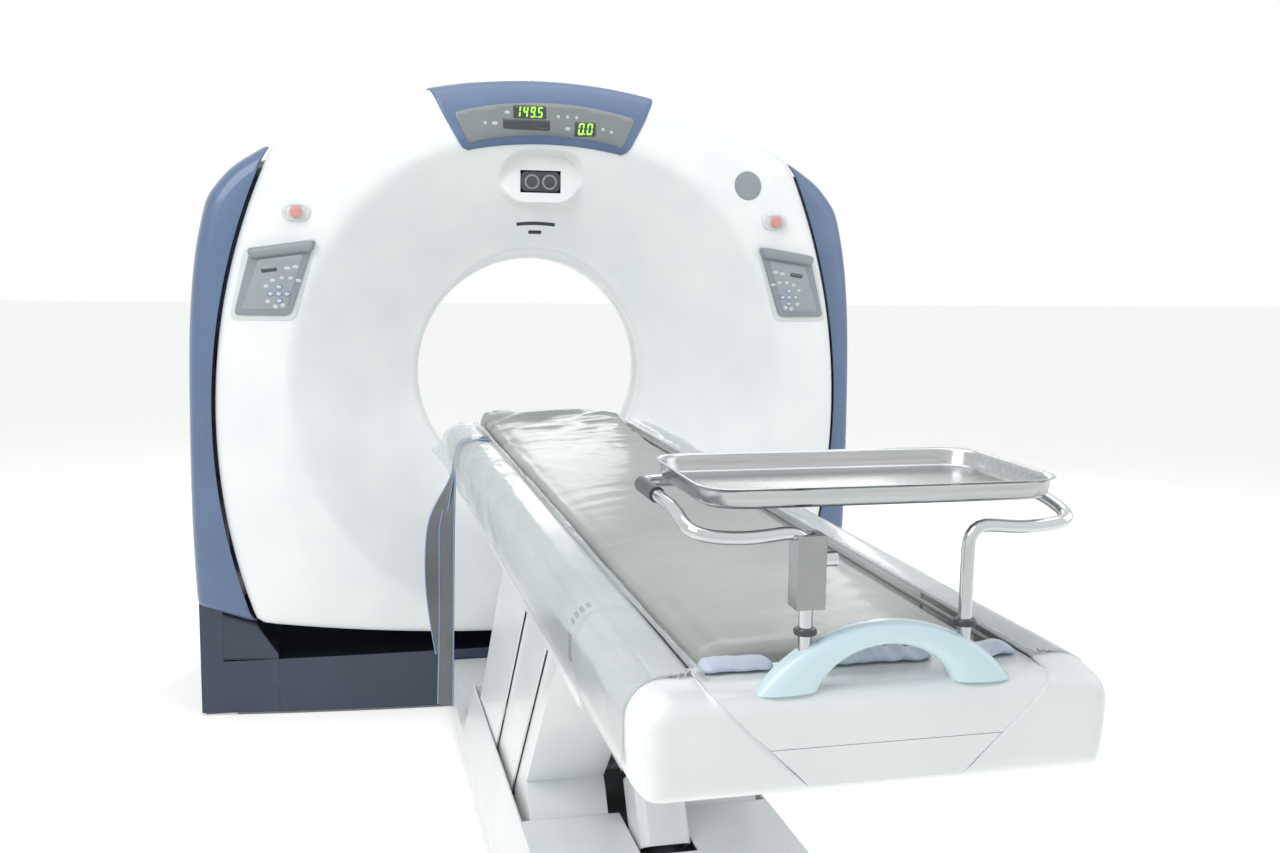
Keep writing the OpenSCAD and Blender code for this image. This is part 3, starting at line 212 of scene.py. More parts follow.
def piece(name, points, faces, material, body, slot, replaces=(), sharp=35, wall=0.0, level=0):
    """A mesh piece from points and faces, smooth shaded up to a sharp angle, riding on a CAD body."""
    mesh = bpy.data.meshes.new(name)
    mesh.from_pydata(np.asarray(points, float), [], faces)
    made = bmesh.new()
    made.from_mesh(mesh)
    bmesh.ops.remove_doubles(made, verts=made.verts, dist=1e-5)
    bmesh.ops.dissolve_degenerate(made, edges=made.edges, dist=1e-5)
    if not any(e.is_boundary for e in made.edges):
        bmesh.ops.recalc_face_normals(made, faces=made.faces)
    made.to_mesh(mesh)
    made.free()
    mesh.materials.append(material)
    mesh.shade_smooth()
    mesh.set_sharp_from_angle(angle=radians(sharp))
    ob = placed(name, mesh)
    if wall:
        shell = ob.modifiers.new("wall", "SOLIDIFY")
        shell.thickness, shell.offset = wall, -1
    if level:
        ob.modifiers.new("smooth", "SUBSURF").levels = level
        ob.modifiers["smooth"].render_levels = level
    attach(ob, body)
    if replaces:
        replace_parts(ob, *replaces)
    return ob


def quads(rows, cols, wrap=False, flip=False):
    """Faces of a grid of points, joined round each row where it wraps."""
    out = []
    for j in range(rows - 1):
        for i in range(cols if wrap else cols - 1):
            a, b = j * cols + i, j * cols + (i + 1) % cols
            out.append((a, a + cols, b + cols, b) if flip else (a, b, b + cols, a + cols))
    return out


def grid(rows, wrap=False, flip=False):
    """Points and faces of a surface through rows of equal count."""
    return np.concatenate([np.asarray(r, float) for r in rows]), quads(len(rows), len(rows[0]), wrap, flip)


def tube(rings):
    """Points and faces of a closed body through rings of equal count."""
    points, faces = grid(rings, True)
    count = len(rings[0])
    return points, faces + [tuple(range(count))[::-1], tuple(range(len(points) - count, len(points)))]


def chaikin(points, times=3):
    """Path with its corners cut a number of times."""
    p = np.array(points, float)
    for _ in range(times):
        q = np.empty((2 * len(p) - 2, p.shape[1]))
        q[0::2], q[1::2] = 0.75 * p[:-1] + 0.25 * p[1:], 0.25 * p[:-1] + 0.75 * p[1:]
        p = np.concatenate([p[:1], q, p[-1:]])
    return p


def soft_min(v, k):
    """Smallest of the rows of v, blended over about k."""
    m = v.min(0)
    return m - np.log(np.exp(-(v - m) / k).sum(0)) * k


def smooth_step(t):
    """Blend from 0 to 1 with no slope at its ends."""
    t = np.clip(t, 0, 1)
    return t * t * (3 - 2 * t)


def turns(count):
    """Angles of one full turn."""
    return np.linspace(0, 2 * pi, count, endpoint=False)


def run_along(path):
    """Distance along a path of two coordinates, at each of its points."""
    return np.concatenate([[0], np.cumsum(np.hypot(*np.diff(path, axis=0).T))])


def places(at, run, path):
    """Points of a path at distances along it."""
    return np.stack([np.interp(at, run, path[:, 0]), np.interp(at, run, path[:, 1])], -1)


def unit(v):
    """Vectors shortened or drawn out to a length of one."""
    return v / np.linalg.norm(v, axis=-1, keepdims=True)


# Gantry surface, from the same sizes as the CAD covers, in metres about the scan centre
ISO = 1.015
BORE = 0.350
LIP = 0.388
ARCS = (((0, -0.701), 1.560), ((-0.880, -0.117), 1.813), ((0.880, -0.117), 1.813), ((0, 4.420), 5.200))
DOME = chaikin([(0.200, 0), (0.235, 0), (0.262, 0.003), (0.282, 0.011), (0.298, 0.027),
                (0.309, 0.058), (0.318, 0.100), (0.332, 0.190)])
ALONG = run_along(DOME)
DISH_SLOPE, DISH_FOOT = 0.708, 0.068
SCOOP_Z, SCOOP_HALF, SCOOP_R, SCOOP_DEPTH = 0.583, 0.046, 0.074, 0.229
CRESCENT_Z, CRESCENT_R, CRESCENT_DEPTH = 0.0646, 0.3164, 0.005
SKIRT = 0.035


def ring_at(ang, r, y):
    """Points at angles and radii about the scan axis, all at one place along it."""
    return np.stack([r * np.cos(ang), np.full(len(ang), y), ISO + r * np.sin(ang)], -1)


def cover_r(ang, inset):
    """Radius of the covers' outline, inset by a distance."""
    d = np.stack([np.cos(ang), np.sin(ang)])
    out = []
    for (cx, cz), r in ARCS:
        b = d[0] * cx + d[1] * cz
        out.append(b + np.sqrt(b * b + (r - inset) ** 2 - cx * cx - cz * cz))
    return soft_min(np.stack(out), 0.009)


def radius_at(ang, q):
    """Radius of the front cover a distance q in from its back edge."""
    return cover_r(ang, np.interp(q, ALONG, DOME[:, 1])) - np.maximum(q - ALONG[-1], 0)


def relief(x, z, r, h):
    """Scoop for the light pod, and the shallow crescent above the bore."""
    off = np.hypot(np.maximum(np.abs(x) - SCOOP_HALF, 0), z - SCOOP_Z) - SCOOP_R
    m = smooth_step(0.5 - off / 0.012)
    h = h * (1 - m) + SCOOP_DEPTH * m
    inside = smooth_step(0.5 + (CRESCENT_R - np.hypot(x, z - CRESCENT_Z)) / 0.005)
    return h - CRESCENT_DEPTH * inside * smooth_step((r - BORE) / 0.008)


def front(ang, q):
    """Point of the front cover at an angle about the bore and a distance q in from its back edge."""
    r = radius_at(ang, q)
    h = np.interp(q, ALONG, DOME[:, 0])
    h = soft_min(np.stack([h, DISH_FOOT + (r - BORE) * DISH_SLOPE]), 0.006)
    x, z = r * np.cos(ang), r * np.sin(ang)
    h = relief(x, z, r, h)
    return np.stack([x, -h, ISO + z], -1)


def unroll(points):
    """Plane place of XZ points, with distance along the surface in place of radius."""
    p = np.asarray(points, float)
    ang, r = np.arctan2(p[:, 1], p[:, 0]), np.hypot(p[:, 0], p[:, 1])
    edge = cover_r(ang, 0)
    lo, hi = np.zeros(len(p)), np.full(len(p), 1.2)
    for _ in range(40):
        mid = (lo + hi) / 2
        far = radius_at(ang, mid) > r
        lo, hi = np.where(far, mid, lo), np.where(far, hi, mid)
    q = np.where(r > edge, np.maximum(SKIRT - (r - edge), 0), lo)
    rho = edge + SKIRT - q
    return np.stack([rho * np.cos(ang), rho * np.sin(ang)], -1)


def lift(uv, off):
    """Points a distance off the front cover, from their unrolled places."""
    ang, rho = np.arctan2(uv[:, 1], uv[:, 0]), np.hypot(uv[:, 0], uv[:, 1])
    q = np.maximum(cover_r(ang, 0) + SKIRT - rho, 0)
    p = front(ang, q)
    e = 2e-3
    n = np.cross(front(ang + e, q) - front(ang - e, q),
                 front(ang, q + e) - front(ang, np.maximum(q - e, 0)))
    return p + unit(n) * np.asarray(off)[..., None]


def arc(cx, cz, r, a0, a1, n=12):
    """Points of an arc between two angles in degrees."""
    return [(cx + r * cos(radians(a0 + (a1 - a0) * i / n)),
             cz + r * sin(radians(a0 + (a1 - a0) * i / n))) for i in range(n + 1)]


def oval(cx, cz, w, h, n=20):
    """Points of an ellipse with a width and a height."""
    return [(cx + w / 2 * cos(a), cz + h / 2 * sin(a)) for a in turns(n)]


def bend(a, b, c, r, share, n):
    """Curve of about radius r at corner b, over at most a share of the two sides that meet there."""
    to_a, to_c = np.linalg.norm(a - b), np.linalg.norm(c - b)
    s, e = b + (a - b) / to_a * min(r, share * to_a), b + (c - b) / to_c * min(r, share * to_c)
    return [(1 - t) ** 2 * s + 2 * t * (1 - t) * b + t * t * e for t in np.linspace(0, 1, n)]


def rounded(points, r, n=5):
    """Outline with each corner cut by a curve of about radius r."""
    p = np.array(points, float)
    return [tuple(v) for i in range(len(p)) for v in bend(p[i - 1], p[i], p[(i + 1) % len(p)], r, 0.45, n)]


def window(x0, x1, z0, z1, r=0.004, n=5):
    """Rectangle with rounded corners."""
    return rounded([(x0, z0), (x1, z0), (x1, z1), (x0, z1)], r, n)


def mirrored(points):
    """Outline on the other side of the scan axis."""
    return [(-x, z) for x, z in points]


def tidy_loop(points, step):
    """Anticlockwise loop with no side longer than step."""
    p = [np.array(v, float) for v in points]
    if sum(p[i - 1][0] * p[i][1] - p[i][0] * p[i - 1][1] for i in range(len(p))) < 0:
        p.reverse()
    out = []
    for i, a in enumerate(p):
        b = p[(i + 1) % len(p)]
        length = np.linalg.norm(b - a)
        if length > 1e-6:
            k = max(1, ceil(length / step))
            out += [a + (b - a) * j / k for j in range(k)]
    return np.array(out)


def inset(loop, d):
    """Anticlockwise loop moved inward."""
    e = unit(np.roll(loop, -1, 0) - loop)
    n = np.stack([-e[:, 1], e[:, 0]], 1)
    m = n + np.roll(n, 1, 0)
    return loop + m * (d / np.maximum((m * m).sum(1) / 2, 0.4))[:, None]


def fill(loop, step):
    """Triangles of a loop, with a grid of points inside it."""
    x0, z0 = loop.min(0)
    x1, z1 = loop.max(0)
    a, b = loop, np.roll(loop, -1, 0)
    inner = []
    for z in np.arange(z0 + step, z1, step):
        for x in np.arange(x0 + step, x1, step):
            cross = (a[:, 1] > z) != (b[:, 1] > z)
            hits = a[cross, 0] + (z - a[cross, 1]) * (b[cross, 0] - a[cross, 0]) / (
                b[cross, 1] - a[cross, 1])
            if (hits > x).sum() % 2 and np.hypot(*(loop - (x, z)).T).min() > step * 0.5:
                inner.append((x, z))
    points = [Vector(v) for v in loop] + [Vector(v) for v in inner]
    got = geometry.delaunay_2d_cdt(points, [], [list(range(len(loop)))], 1, 1e-7)
    return np.array([tuple(v) for v in got[0]]), [tuple(f) for f in got[2]]


def skin(name, outlines, base, top, material, slot, edge=0.0015, step=0.014, replaces=(), body="gantry"):
    """Thin plates that follow the front cover, with rounded rims, as one piece."""
    points, faces = [], []
    for outline in outlines:
        loop = tidy_loop(unroll(outline), step)
        rims = [(loop, base), (loop, top - edge), (inset(loop, edge * 0.3), top - edge * 0.3)]
        last = inset(loop, edge)
        flat, tris = fill(last, step)
        n = len(loop)
        start = sum(len(p) for p in points)
        for ring, off in rims:
            points.append(lift(ring, np.full(n, off)))
        points.append(lift(flat, np.full(len(flat), top)))
        faces += [tuple(start + v for v in f) for f in quads(4, n, True)]
        faces += [tuple(start + 3 * n + v for v in f) for f in tris]
        under = sum(len(p) for p in points)
        low, tris = fill(loop, step)
        points.append(lift(low, np.full(len(low), base)))
        faces += [tuple(under + v for v in reversed(f)) for f in tris]
    return piece(name, np.concatenate(points), faces, material, body, slot, replaces, sharp=50)


# Front cover: polar grid, closer where the scoop and the crescent are
steps = np.radians(np.concatenate([np.arange(0, 50, 1.25), np.arange(50, 75, 0.9),
                                   np.arange(75, 105, 0.42), np.arange(105, 130, 0.9),
                                   np.arange(130, 360, 1.25)]))
rows = [front(steps, np.full(len(steps), q)) for q in ALONG[::2]]
rim_r = cover_r(steps, DOME[-1, 1])
for t in np.linspace(0, 1, 78)[1:]:
    rows.append(front(steps, ALONG[-1] + (rim_r - LIP) * t))
for r, h in chaikin([(LIP, 0.0949), (0.364, 0.081), (0.353, 0.067), (BORE, 0.055)])[1:]:
    ring = np.full(len(steps), r)
    x, z = ring * np.cos(steps), ring * np.sin(steps)
    rows.append(np.stack([x, -relief(x, z, ring, np.full(len(steps), h)), ISO + z], -1))
piece("front_cover_shell", *grid(rows, True), WHITE, "gantry", "housing", ("front_cover",), wall=0.004)

# Rear cover: dome with the funnel, and the roof over the works
REAR = chaikin([(0.300, 0), (0.350, 0.002), (0.385, 0.012), (0.412, 0.030), (0.430, 0.060),
                (0.442, 0.130), (0.450, 0.230)])
steps = np.radians(np.arange(0, 360, 1.5))
FUNNEL = chaikin([(0.590, 0.450), (0.572, 0.446), (0.555, 0.424), (0.36, 0.07), (BORE, 0.055)])
rows = [ring_at(steps, cover_r(steps, i), y) for y, i in REAR[::2]]
inner_r = cover_r(steps, REAR[-1, 1])
rows += [ring_at(steps, inner_r * (1 - t) + FUNNEL[0, 0] * t, FUNNEL[0, 1]) for t in (0.35, 0.7)]
rows += [ring_at(steps, r, y) for r, y in FUNNEL]
points, faces = grid(rows, True, True)
ROOF_Z, ROOF_Y = 0.625, (0.300, -0.1997)
tops = steps[(steps > 0.6) & (steps < 2.6) & (cover_r(steps, 0) * np.sin(steps) > ROOF_Z)]
roof = [ring_at(tops, cover_r(tops, 0), y) for y in np.linspace(*ROOF_Y, 6)]
faces += [tuple(len(points) + v for v in f) for f in quads(6, len(tops))]
piece("rear_cover_shell", np.concatenate([points, *roof]), faces, WHITE, "gantry", "housing",
      ("rear_cover",), wall=0.004)

# Side cowls: swept from the gap at the white cover round to the back
COWL = np.array([(0.700, 0.659), (0.775, 0.659), (0.878, 0.593), (0.943, 0.512), (0.979, 0.370),
                 (1.004, 0.145), (1.010, -0.065), (1.012, -0.455), (1.001, -0.665), (0.842, -0.725),
                 (0.700, -0.725)])
COWL_RIM = chaikin([(-0.250, 0.045), (-0.244, 0.022), (-0.226, 0.006), (-0.195, 0)], 2)
COWL_BACK = chaikin([(0.353, 0), (0.378, 0.008), (0.392, 0.030)], 2)
# Gaps to the tilting covers, each up to a place along the axis
GAPS = ((-0.210, 0.010), (-0.199, 0.018), (0.352, 0.052), (0.400, 0.014))


def cowl_r(ang, off):
    """Radius of a cowl's outline, inset by a distance."""
    d = np.stack([np.cos(ang), np.sin(ang)])
    out = []
    for p, q in zip(COWL[:-1], COWL[1:]):
        e = unit(q - p)
        n = np.array([-e[1], e[0]])
        f = d[0] * n[0] + d[1] * n[1]
        out.append(np.where(f > 0.02, (p @ n - off) / np.maximum(f, 0.02), 5))
    return soft_min(np.stack(out), 0.006)


def tips(off, gap):
    """Angles between the two tips of a cowl where it stands a gap outside the tilting covers."""
    wide = np.radians(np.arange(-46, 46, 0.05))
    wide = wide[cowl_r(wide, off) > cover_r(wide, -gap) + 0.001]
    return np.linspace(wide[0], wide[-1], 150)


# Each row has its place along the axis and its inset; a row with None lies on the edge of the gap
section = [(-0.205, None), (-0.250, None), *COWL_RIM, (-0.190, 0), (0, 0), *COWL_BACK, (0.392, None)]
rows = []
for y, off in section:
    gap = next(g for end, g in GAPS if y < end)
    ang = tips(COWL_RIM[0][1] if y < -0.200 and off is None else off or 0, gap)
    r = cover_r(ang, -gap) if off is None else cowl_r(ang, off)
    rows.append(ring_at(ang, r, y))
for side, sign in SIDES[::-1]:
    piece("side_cowl_shell_" + side, *grid([row * (sign, 1, 1) for row in rows], flip=sign > 0), BLUE,
          "root", "cowl_blue", ("side_cowl_" + side,), wall=0.005)

# Display: blue bezel that runs over the top edge, grey lens, figures and icons
ang = np.radians(np.linspace(68.0, 112.0, 40))
r = cover_r(ang, 0) + SKIRT
bezel = list(zip(np.cos(ang) * r, np.sin(ang) * r))
bezel += [(-0.290, 0.745), (-0.249, 0.672), (-0.238, 0.659), (-0.222, 0.653)]
bezel += arc(0, -0.372, 1.050, 101.6, 78.4, 24) + mirrored(bezel[:-5:-1])
skin("display_bezel_shell", [bezel], 0.0003, 0.005, BLUE, "cowl_blue", edge=0.003,
     replaces=("display_bezel",))
LENS_SIDE = [(0.248, 0.722), (0.226, 0.678), (0.214, 0.672)]
lens = arc(0, -0.197, 0.988, 105.4, 74.6, 20) + LENS_SIDE
lens += arc(0, -0.197, 0.900, 76.5, 103.5, 20) + mirrored(LENS_SIDE[::-1])
skin("display_lens_shell", [rounded(lens, 0.012, 3)], 0.0053, 0.0073, LENS, "lens",
     replaces=("display_lens",))


def figures(text, x0, x1, z0, z1):
    """Outlines of slanted seven-segment figures, t thick with gaps g, between two corners."""
    segments = {"0": "abcdef", "1": "bc", "4": "bcfg", "5": "acdfg", "9": "abcdfg"}
    cells = [c for c in text if c != "."]
    w = (x1 - x0) / len(cells)
    t, g = 0.0042, 0.0006
    out, k = [], 0
    for c in text:
        if c == ".":
            out.append(oval(x0 + k * w - 0.1 * w, z0 + t / 2, t, t, 8))
            continue
        a0, a1, zm = x0 + k * w + 0.12 * w, x0 + k * w + 0.78 * w, (z0 + z1) / 2
        k += 1
        place = {"a": (a0, a1, z1 - t / 2), "g": (a0, a1, zm), "d": (a0, a1, z0 + t / 2),
                 "f": (zm, z1, a0 + t / 2), "b": (zm, z1, a1 - t / 2), "e": (z0, zm, a0 + t / 2),
                 "c": (z0, zm, a1 - t / 2)}
        for s in segments[c]:
            lies = s in "agd"
            p, q, v = place[s]
            h = t / 2 if lies else -t / 2
            bar = [(p + g, v), (p + t / 2 + g, v - h), (q - t / 2 - g, v - h), (q - g, v),
                   (q - t / 2 - g, v + h), (p + t / 2 + g, v + h)]
            out.append([(x + 0.14 * (z - z0), z) for x, z in (b if lies else b[::-1] for b in bar)])
    return out


skin("display_windows", [window(-0.125, 0.010, 1.730 - ISO, 1.757 - ISO),
                         window(-0.095, 0.000, 1.759 - ISO, 1.797 - ISO),
                         window(0.082, 0.144, 1.718 - ISO, 1.756 - ISO)],
     0.0072, 0.0078, GLASS, "dark_window", edge=0.0003)
skin("display_figures", figures("1495", -0.092, -0.008, 1.763 - ISO, 1.793 - ISO)
     + [oval(-0.030, 1.765 - ISO, 0.004, 0.004, 8)]
     + figures("0.0", 0.088, 0.138, 1.722 - ISO, 1.752 - ISO),
     0.0077, 0.0081, LED, "lens", edge=0.0002, step=0.03)
ICONS = ((-0.112, 1.775, 0.016), (-0.148, 1.743, 0.018), (0.062, 1.736, 0.016), (0.035, 1.768, 0.010),
         (0.062, 1.768, 0.010), (0.088, 1.767, 0.010), (-0.175, 1.743, 0.008), (0.165, 1.737, 0.010),
         (0.190, 1.730, 0.010))
skin("display_icons", [oval(x, z - ISO, w, 0.010, 10) for x, z, w in ICONS], 0.0072, 0.0077, ICON, "lens",
     edge=0.0002, step=0.03)

# Light pod window, slot and sensor above the bore, medallion
skin("pod_window", [window(-0.058, 0.058, 0.546, 0.604, 0.016)], 0.0003, 0.003, DARK, "dark_window",
     edge=0.002)
skin("pod_rings", [oval(x, 0.574, 0.044, 0.044, 28) for x in (-0.026, 0.026)], 0.0028, 0.0048, PANEL,
     "dark_window", edge=0.001, step=0.02)
skin("pod_lenses", [oval(x, 0.574, 0.034, 0.034, 24) for x in (-0.026, 0.026)], 0.0046, 0.0058, GLASS,
     "dark_window", edge=0.001)
skin("slot_shadow", [arc(0, 0, 0.460, 97.4, 82.6, 16) + arc(0, 0, 0.450, 82.6, 97.4, 16)], 0.0, 0.0006,
     DARK, "dark_window", edge=0.0003)
skin("sensor_window", [window(-0.020, 0.020, 0.424, 0.434, 0.003)], 0.0, 0.0012, GLASS, "dark_window",
     edge=0.0005)
skin("medallion", [oval(0.612, 0.575, 0.086, 0.086, 40)], 0.0, 0.0022, PANEL, "panel_grey", edge=0.0012)

# Control panels with hoods, key films and keys
PANEL_SHAPE = [(0.822, 0.360), (0.650, 0.386), (0.718, 0.184), (0.869, 0.183)]
HOOD_SHAPE = [(0.826, 0.366), (0.646, 0.394), (0.654, 0.362), (0.820, 0.338)]
FILM_SHAPE = [(0.800, 0.336), (0.677, 0.354), (0.728, 0.200), (0.846, 0.199)]
BACK_SHAPE = [(0.838, 0.372), (0.640, 0.400), (0.706, 0.170), (0.884, 0.169)]
READOUT_SHAPE = [(0.752, 0.318), (0.794, 0.312), (0.790, 0.300), (0.750, 0.306)]
KEYS = [(0.700, 0.318, 0.020, 0.010), (0.722, 0.314, 0.020, 0.010), (0.694, 0.281, 0.014, 0.010),
        (0.714, 0.287, 0.014, 0.010), (0.738, 0.287, 0.014, 0.010), (0.762, 0.280, 0.014, 0.010),
        (0.780, 0.264, 0.014, 0.010), (0.776, 0.222, 0.014, 0.012), (0.736, 0.212, 0.014, 0.012),
        (0.756, 0.208, 0.014, 0.012)]
CROSS = [(0.746, 0.262), (0.725, 0.243), (0.747, 0.243), (0.769, 0.243), (0.746, 0.224)]
for side, flip in (("right", lambda p: p), ("left", mirrored)):
    for name, shape, r, base, top, material, slot, edge, replaced in (
            ("panel_surround_", BACK_SHAPE, 0.022, 0.0002, 0.003, PAD_GREY, "housing", 0.002, ()),
            ("control_panel_shell_", PANEL_SHAPE, 0.016, 0.0003, 0.010, PANEL, "panel_grey", 0.003,
             ("control_panel_" + side,)),
            ("panel_hood_", HOOD_SHAPE, 0.012, 0.009, 0.026, PANEL, "panel_grey", 0.008, ()),
            ("key_film_", FILM_SHAPE, 0.010, 0.010, 0.0115, FILM_KEYS, "key_film", 0.0008, ("keypads",))):
        skin(name + side, [flip(rounded(shape, r))], base, top, material, slot, edge, replaces=replaced)
    for name, keys, count, base, top, material, edge in (
            ("keys_", KEYS, 14, 0.0114, 0.0132, KEY, 0.0009),
            ("cross_rings_", [(*at, 0.018, 0.014) for at in CROSS], 16, 0.0114, 0.0124, KEY_BLUE, 0.0004),
            ("cross_keys_", [(*at, 0.014, 0.010) for at in CROSS], 16, 0.0122, 0.0136, KEY, 0.0009)):
        skin(name + side, [flip(oval(*key, count)) for key in keys], base, top, material, "key_film", edge,
             step=0.02)
    skin("panel_readout_" + side, [flip(rounded(READOUT_SHAPE, 0.003))], 0.0112, 0.0122, GLASS,
         "dark_window", edge=0.0004)

# Stop pads and buttons: flat-faced ovals on the dome with a turned cap
ESTOP_X, ESTOP_Z = 0.698, ISO + 0.469
PAD_W, PAD_H = 0.078, 0.047
PAD_STEPS = ((0.0, -0.312), (0.0, -0.332), (0.0006, -0.334), (0.0025, -0.336), (0.0062, -0.336),
             (0.0072, -0.3345), (0.0085, -0.336), (0.019, -0.336))
BUTTON = ((0.008, -0.290), (0.008, -0.343), (0.0155, -0.343), (0.017, -0.3445), (0.017, -0.351),
          (0.0155, -0.354), (0.010, -0.3558), (0.0001, -0.356))
shape = np.array(arc((PAD_W - PAD_H) / 2, 0, PAD_H / 2, -90, 90, 14)
                 + arc((PAD_H - PAD_W) / 2, 0, PAD_H / 2, 90, 270, 14))
for side, sign in SIDES:
    rings = []
    for shrink, y in PAD_STEPS:
        loop = shape * (1 - shrink / (PAD_H / 2))
        rings.append([(sign * ESTOP_X + x, y, ESTOP_Z + z) for x, z in loop])
    piece("stop_pad_" + side, *tube(rings), PAD_GREY, "gantry", "stop_pad", ("estop_bezels",), sharp=40)
    rings = [[(sign * ESTOP_X + r * cos(a), y, ESTOP_Z + r * sin(a)) for a in turns(40)]
             for r, y in BUTTON]
    piece("stop_button_" + side, *tube(rings), RED, "stop_" + side, "stop_red", ("estop_button_" + side,),
          sharp=40)

# Table top, from the same sizes as the CAD, in metres
SIDE_W, SIDE_TOP, SIDE_R, SEAM_X = 0.300, 0.900, 0.045, 0.219
END_Y, CRADLE_FOOT_Y, FOOT_TOP = -2.712, -2.6003, 0.895
MOUTH_Z, MOUTH_HALF = 0.782, 0.0975
POST_X, POST_Y, TRAY_Z, ROD_R = 0.100, -2.690, 1.095, 0.008


def crease(x, y, scale, seed, octaves=3):
    """Folds of cloth: ridged noise from about 0 to 1."""
    return 1 - abs(noise.fractal(Vector((x * scale[0], y * scale[1], seed)), 1.0, 2.0, octaves)) * 1.7


def sweep(path, r, count=16):
    """Points and faces of a round tube along a path."""
    p = np.array(path, float)
    ahead = np.roll(p, -1, 0) - np.roll(p, 1, 0)
    ahead[0], ahead[-1] = p[1] - p[0], p[-1] - p[-2]
    ahead = unit(ahead)
    side = np.cross(ahead[0], (0, 0, 1) if abs(ahead[0][2]) < 0.9 else (1, 0, 0))
    turn = turns(count)[:, None]
    rings = []
    for at, t in zip(p, ahead):
        side = unit(side - t * (side @ t))
        rings.append(at + (np.cos(turn) * side + np.sin(turn) * np.cross(t, side)) * r)
    return tube(rings)


def round_path(points, r, n=7):
    """Path with each corner bent to a curve of about radius r."""
    p = np.array(points, float)
    out = [p[0]]
    for a, b, c in zip(p[:-2], p[1:-1], p[2:]):
        out += bend(a, b, c, r, 0.48, n)
    return out + [p[-1]]


def side_path(off, low, steps=16):
    """Section a distance off a side cover, from its inner edge over the top and down to a height."""
    out = [(SEAM_X + 0.001, SIDE_TOP + off), (0.237, SIDE_TOP + off)]
    for i in range(steps + 1):
        a = pi / 2 * (1 - i / steps)
        out.append((SIDE_W - SIDE_R + (SIDE_R + off) * cos(a),
                    SIDE_TOP - SIDE_R + (SIDE_R + off) * sin(a)))
    return np.array(out + [(SIDE_W + off, low)])


# Foot of the table: cradle piece and fixed piece in the tapering mouth of the foot cap
FOOT_LOW, FOOT_HIGH, NOSE_Z, NOSE_Y, CHAMFER = 0.762, 0.896, 0.026, 0.034, 0.002


def nose(z):
    """Place of the rounded foot end at a height."""
    d = min(FOOT_HIGH - z, z - FOOT_LOW, NOSE_Z)
    return END_Y + NOSE_Y * (1 - sqrt(max(0.0, 1 - (1 - d / NOSE_Z) ** 2)))


def mouth(z):
    """Half width of the tapering mouth at a height."""
    return MOUTH_HALF + (SEAM_X - MOUTH_HALF) * (min(z, FOOT_TOP) - MOUTH_Z) / (FOOT_TOP - MOUTH_Z)


def foot_piece(name, z0, z1, back, body, replaced):
    """Solid that fills the mouth between two heights, less a running gap."""
    rings = []
    for z in z0 + (z1 - z0) * np.sin(np.linspace(0, 0.5, 17) * pi):
        y, h = nose(z), mouth(z) - 0.0022
        loop = [(-h, y + CHAMFER), (-h + CHAMFER, y)] + [(h * t, y) for t in (-0.6, -0.2, 0.2, 0.6)]
        loop += [(h - CHAMFER, y), (h, y + CHAMFER), (h, back), (-h, back)]
        rings.append([(x, v, z) for x, v in loop])
    piece(name, *tube(rings), WHITE, body, "table_cover", replaced, sharp=42)


foot_piece("cradle_foot_shell", 0.8304, 0.8950, CRADLE_FOOT_Y - 0.0003, "cradle", ("cradle_foot",))
foot_piece("foot_cover_shell", 0.7835, 0.8296, -2.605, "table", ("foot_cover",))

# Foot cap: each half runs from the seam round the nose and in to the mouth
NOSE = chaikin([(0, 0.080), (0.0006, 0.060), (0.004, 0.024), (0.013, 0.007), (0.026, 0), (0.050, 0)], 2)
CAP_Y, CAP_LOW, CAP_EDGE_Z = -2.3397, 0.764, MOUTH_Z + 0.0002
edge = [(SEAM_X, SIDE_TOP), (0.240, SIDE_TOP)] + arc(SIDE_W - SIDE_R, SIDE_TOP - SIDE_R, SIDE_R, 90, 0, 16)
edge += [*chaikin([(0.300, 0.832), (0.298, 0.800), (0.291, 0.772), (0.278, CAP_LOW), (0.250, CAP_LOW)])]
edge = np.array(edge + [(x, CAP_LOW) for x in (0.180, 0.098, 0.045, 0)])
run = run_along(edge)
turned = run[-3]
u = np.concatenate([np.linspace(0, turned, 90), np.linspace(turned, run[-1], 9)[1:]])
outer = places(u, run, edge)
share = np.clip(u / turned, 0, 1)
inner = np.stack([SEAM_X - 0.001 - (SEAM_X - 0.098) * share, SIDE_TOP - (SIDE_TOP - CAP_EDGE_Z) * share], 1)
inner[share >= 1] = [(x, CAP_EDGE_Z) for x in outer[share >= 1, 0]]
rows = [np.stack([outer[:, 0], np.full(len(u), y), outer[:, 1]], 1)
        for y in np.linspace(CAP_Y, END_Y + NOSE[0, 1], 12)]
fine = places(np.linspace(0, run[-1], 500), run, edge)
for t in np.linspace(0, 1, 34)[1:] ** 1.8:
    at = outer + (inner - outer) * t
    away = np.hypot(*np.moveaxis(at[:, None] - fine, 2, 0)).min(1)
    rows.append(np.stack([at[:, 0], END_Y + np.interp(away, NOSE[:, 0], NOSE[:, 1]), at[:, 1]], 1))
half, faces = grid(rows, flip=True)
faces += [tuple(len(half) + v for v in f) for f in quads(len(rows), len(u))]
piece("foot_cap_shell", np.concatenate([half, half * (-1, 1, 1)]), faces, WHITE, "table", "table_cover",
      ("foot_cap",), sharp=45, wall=0.004)

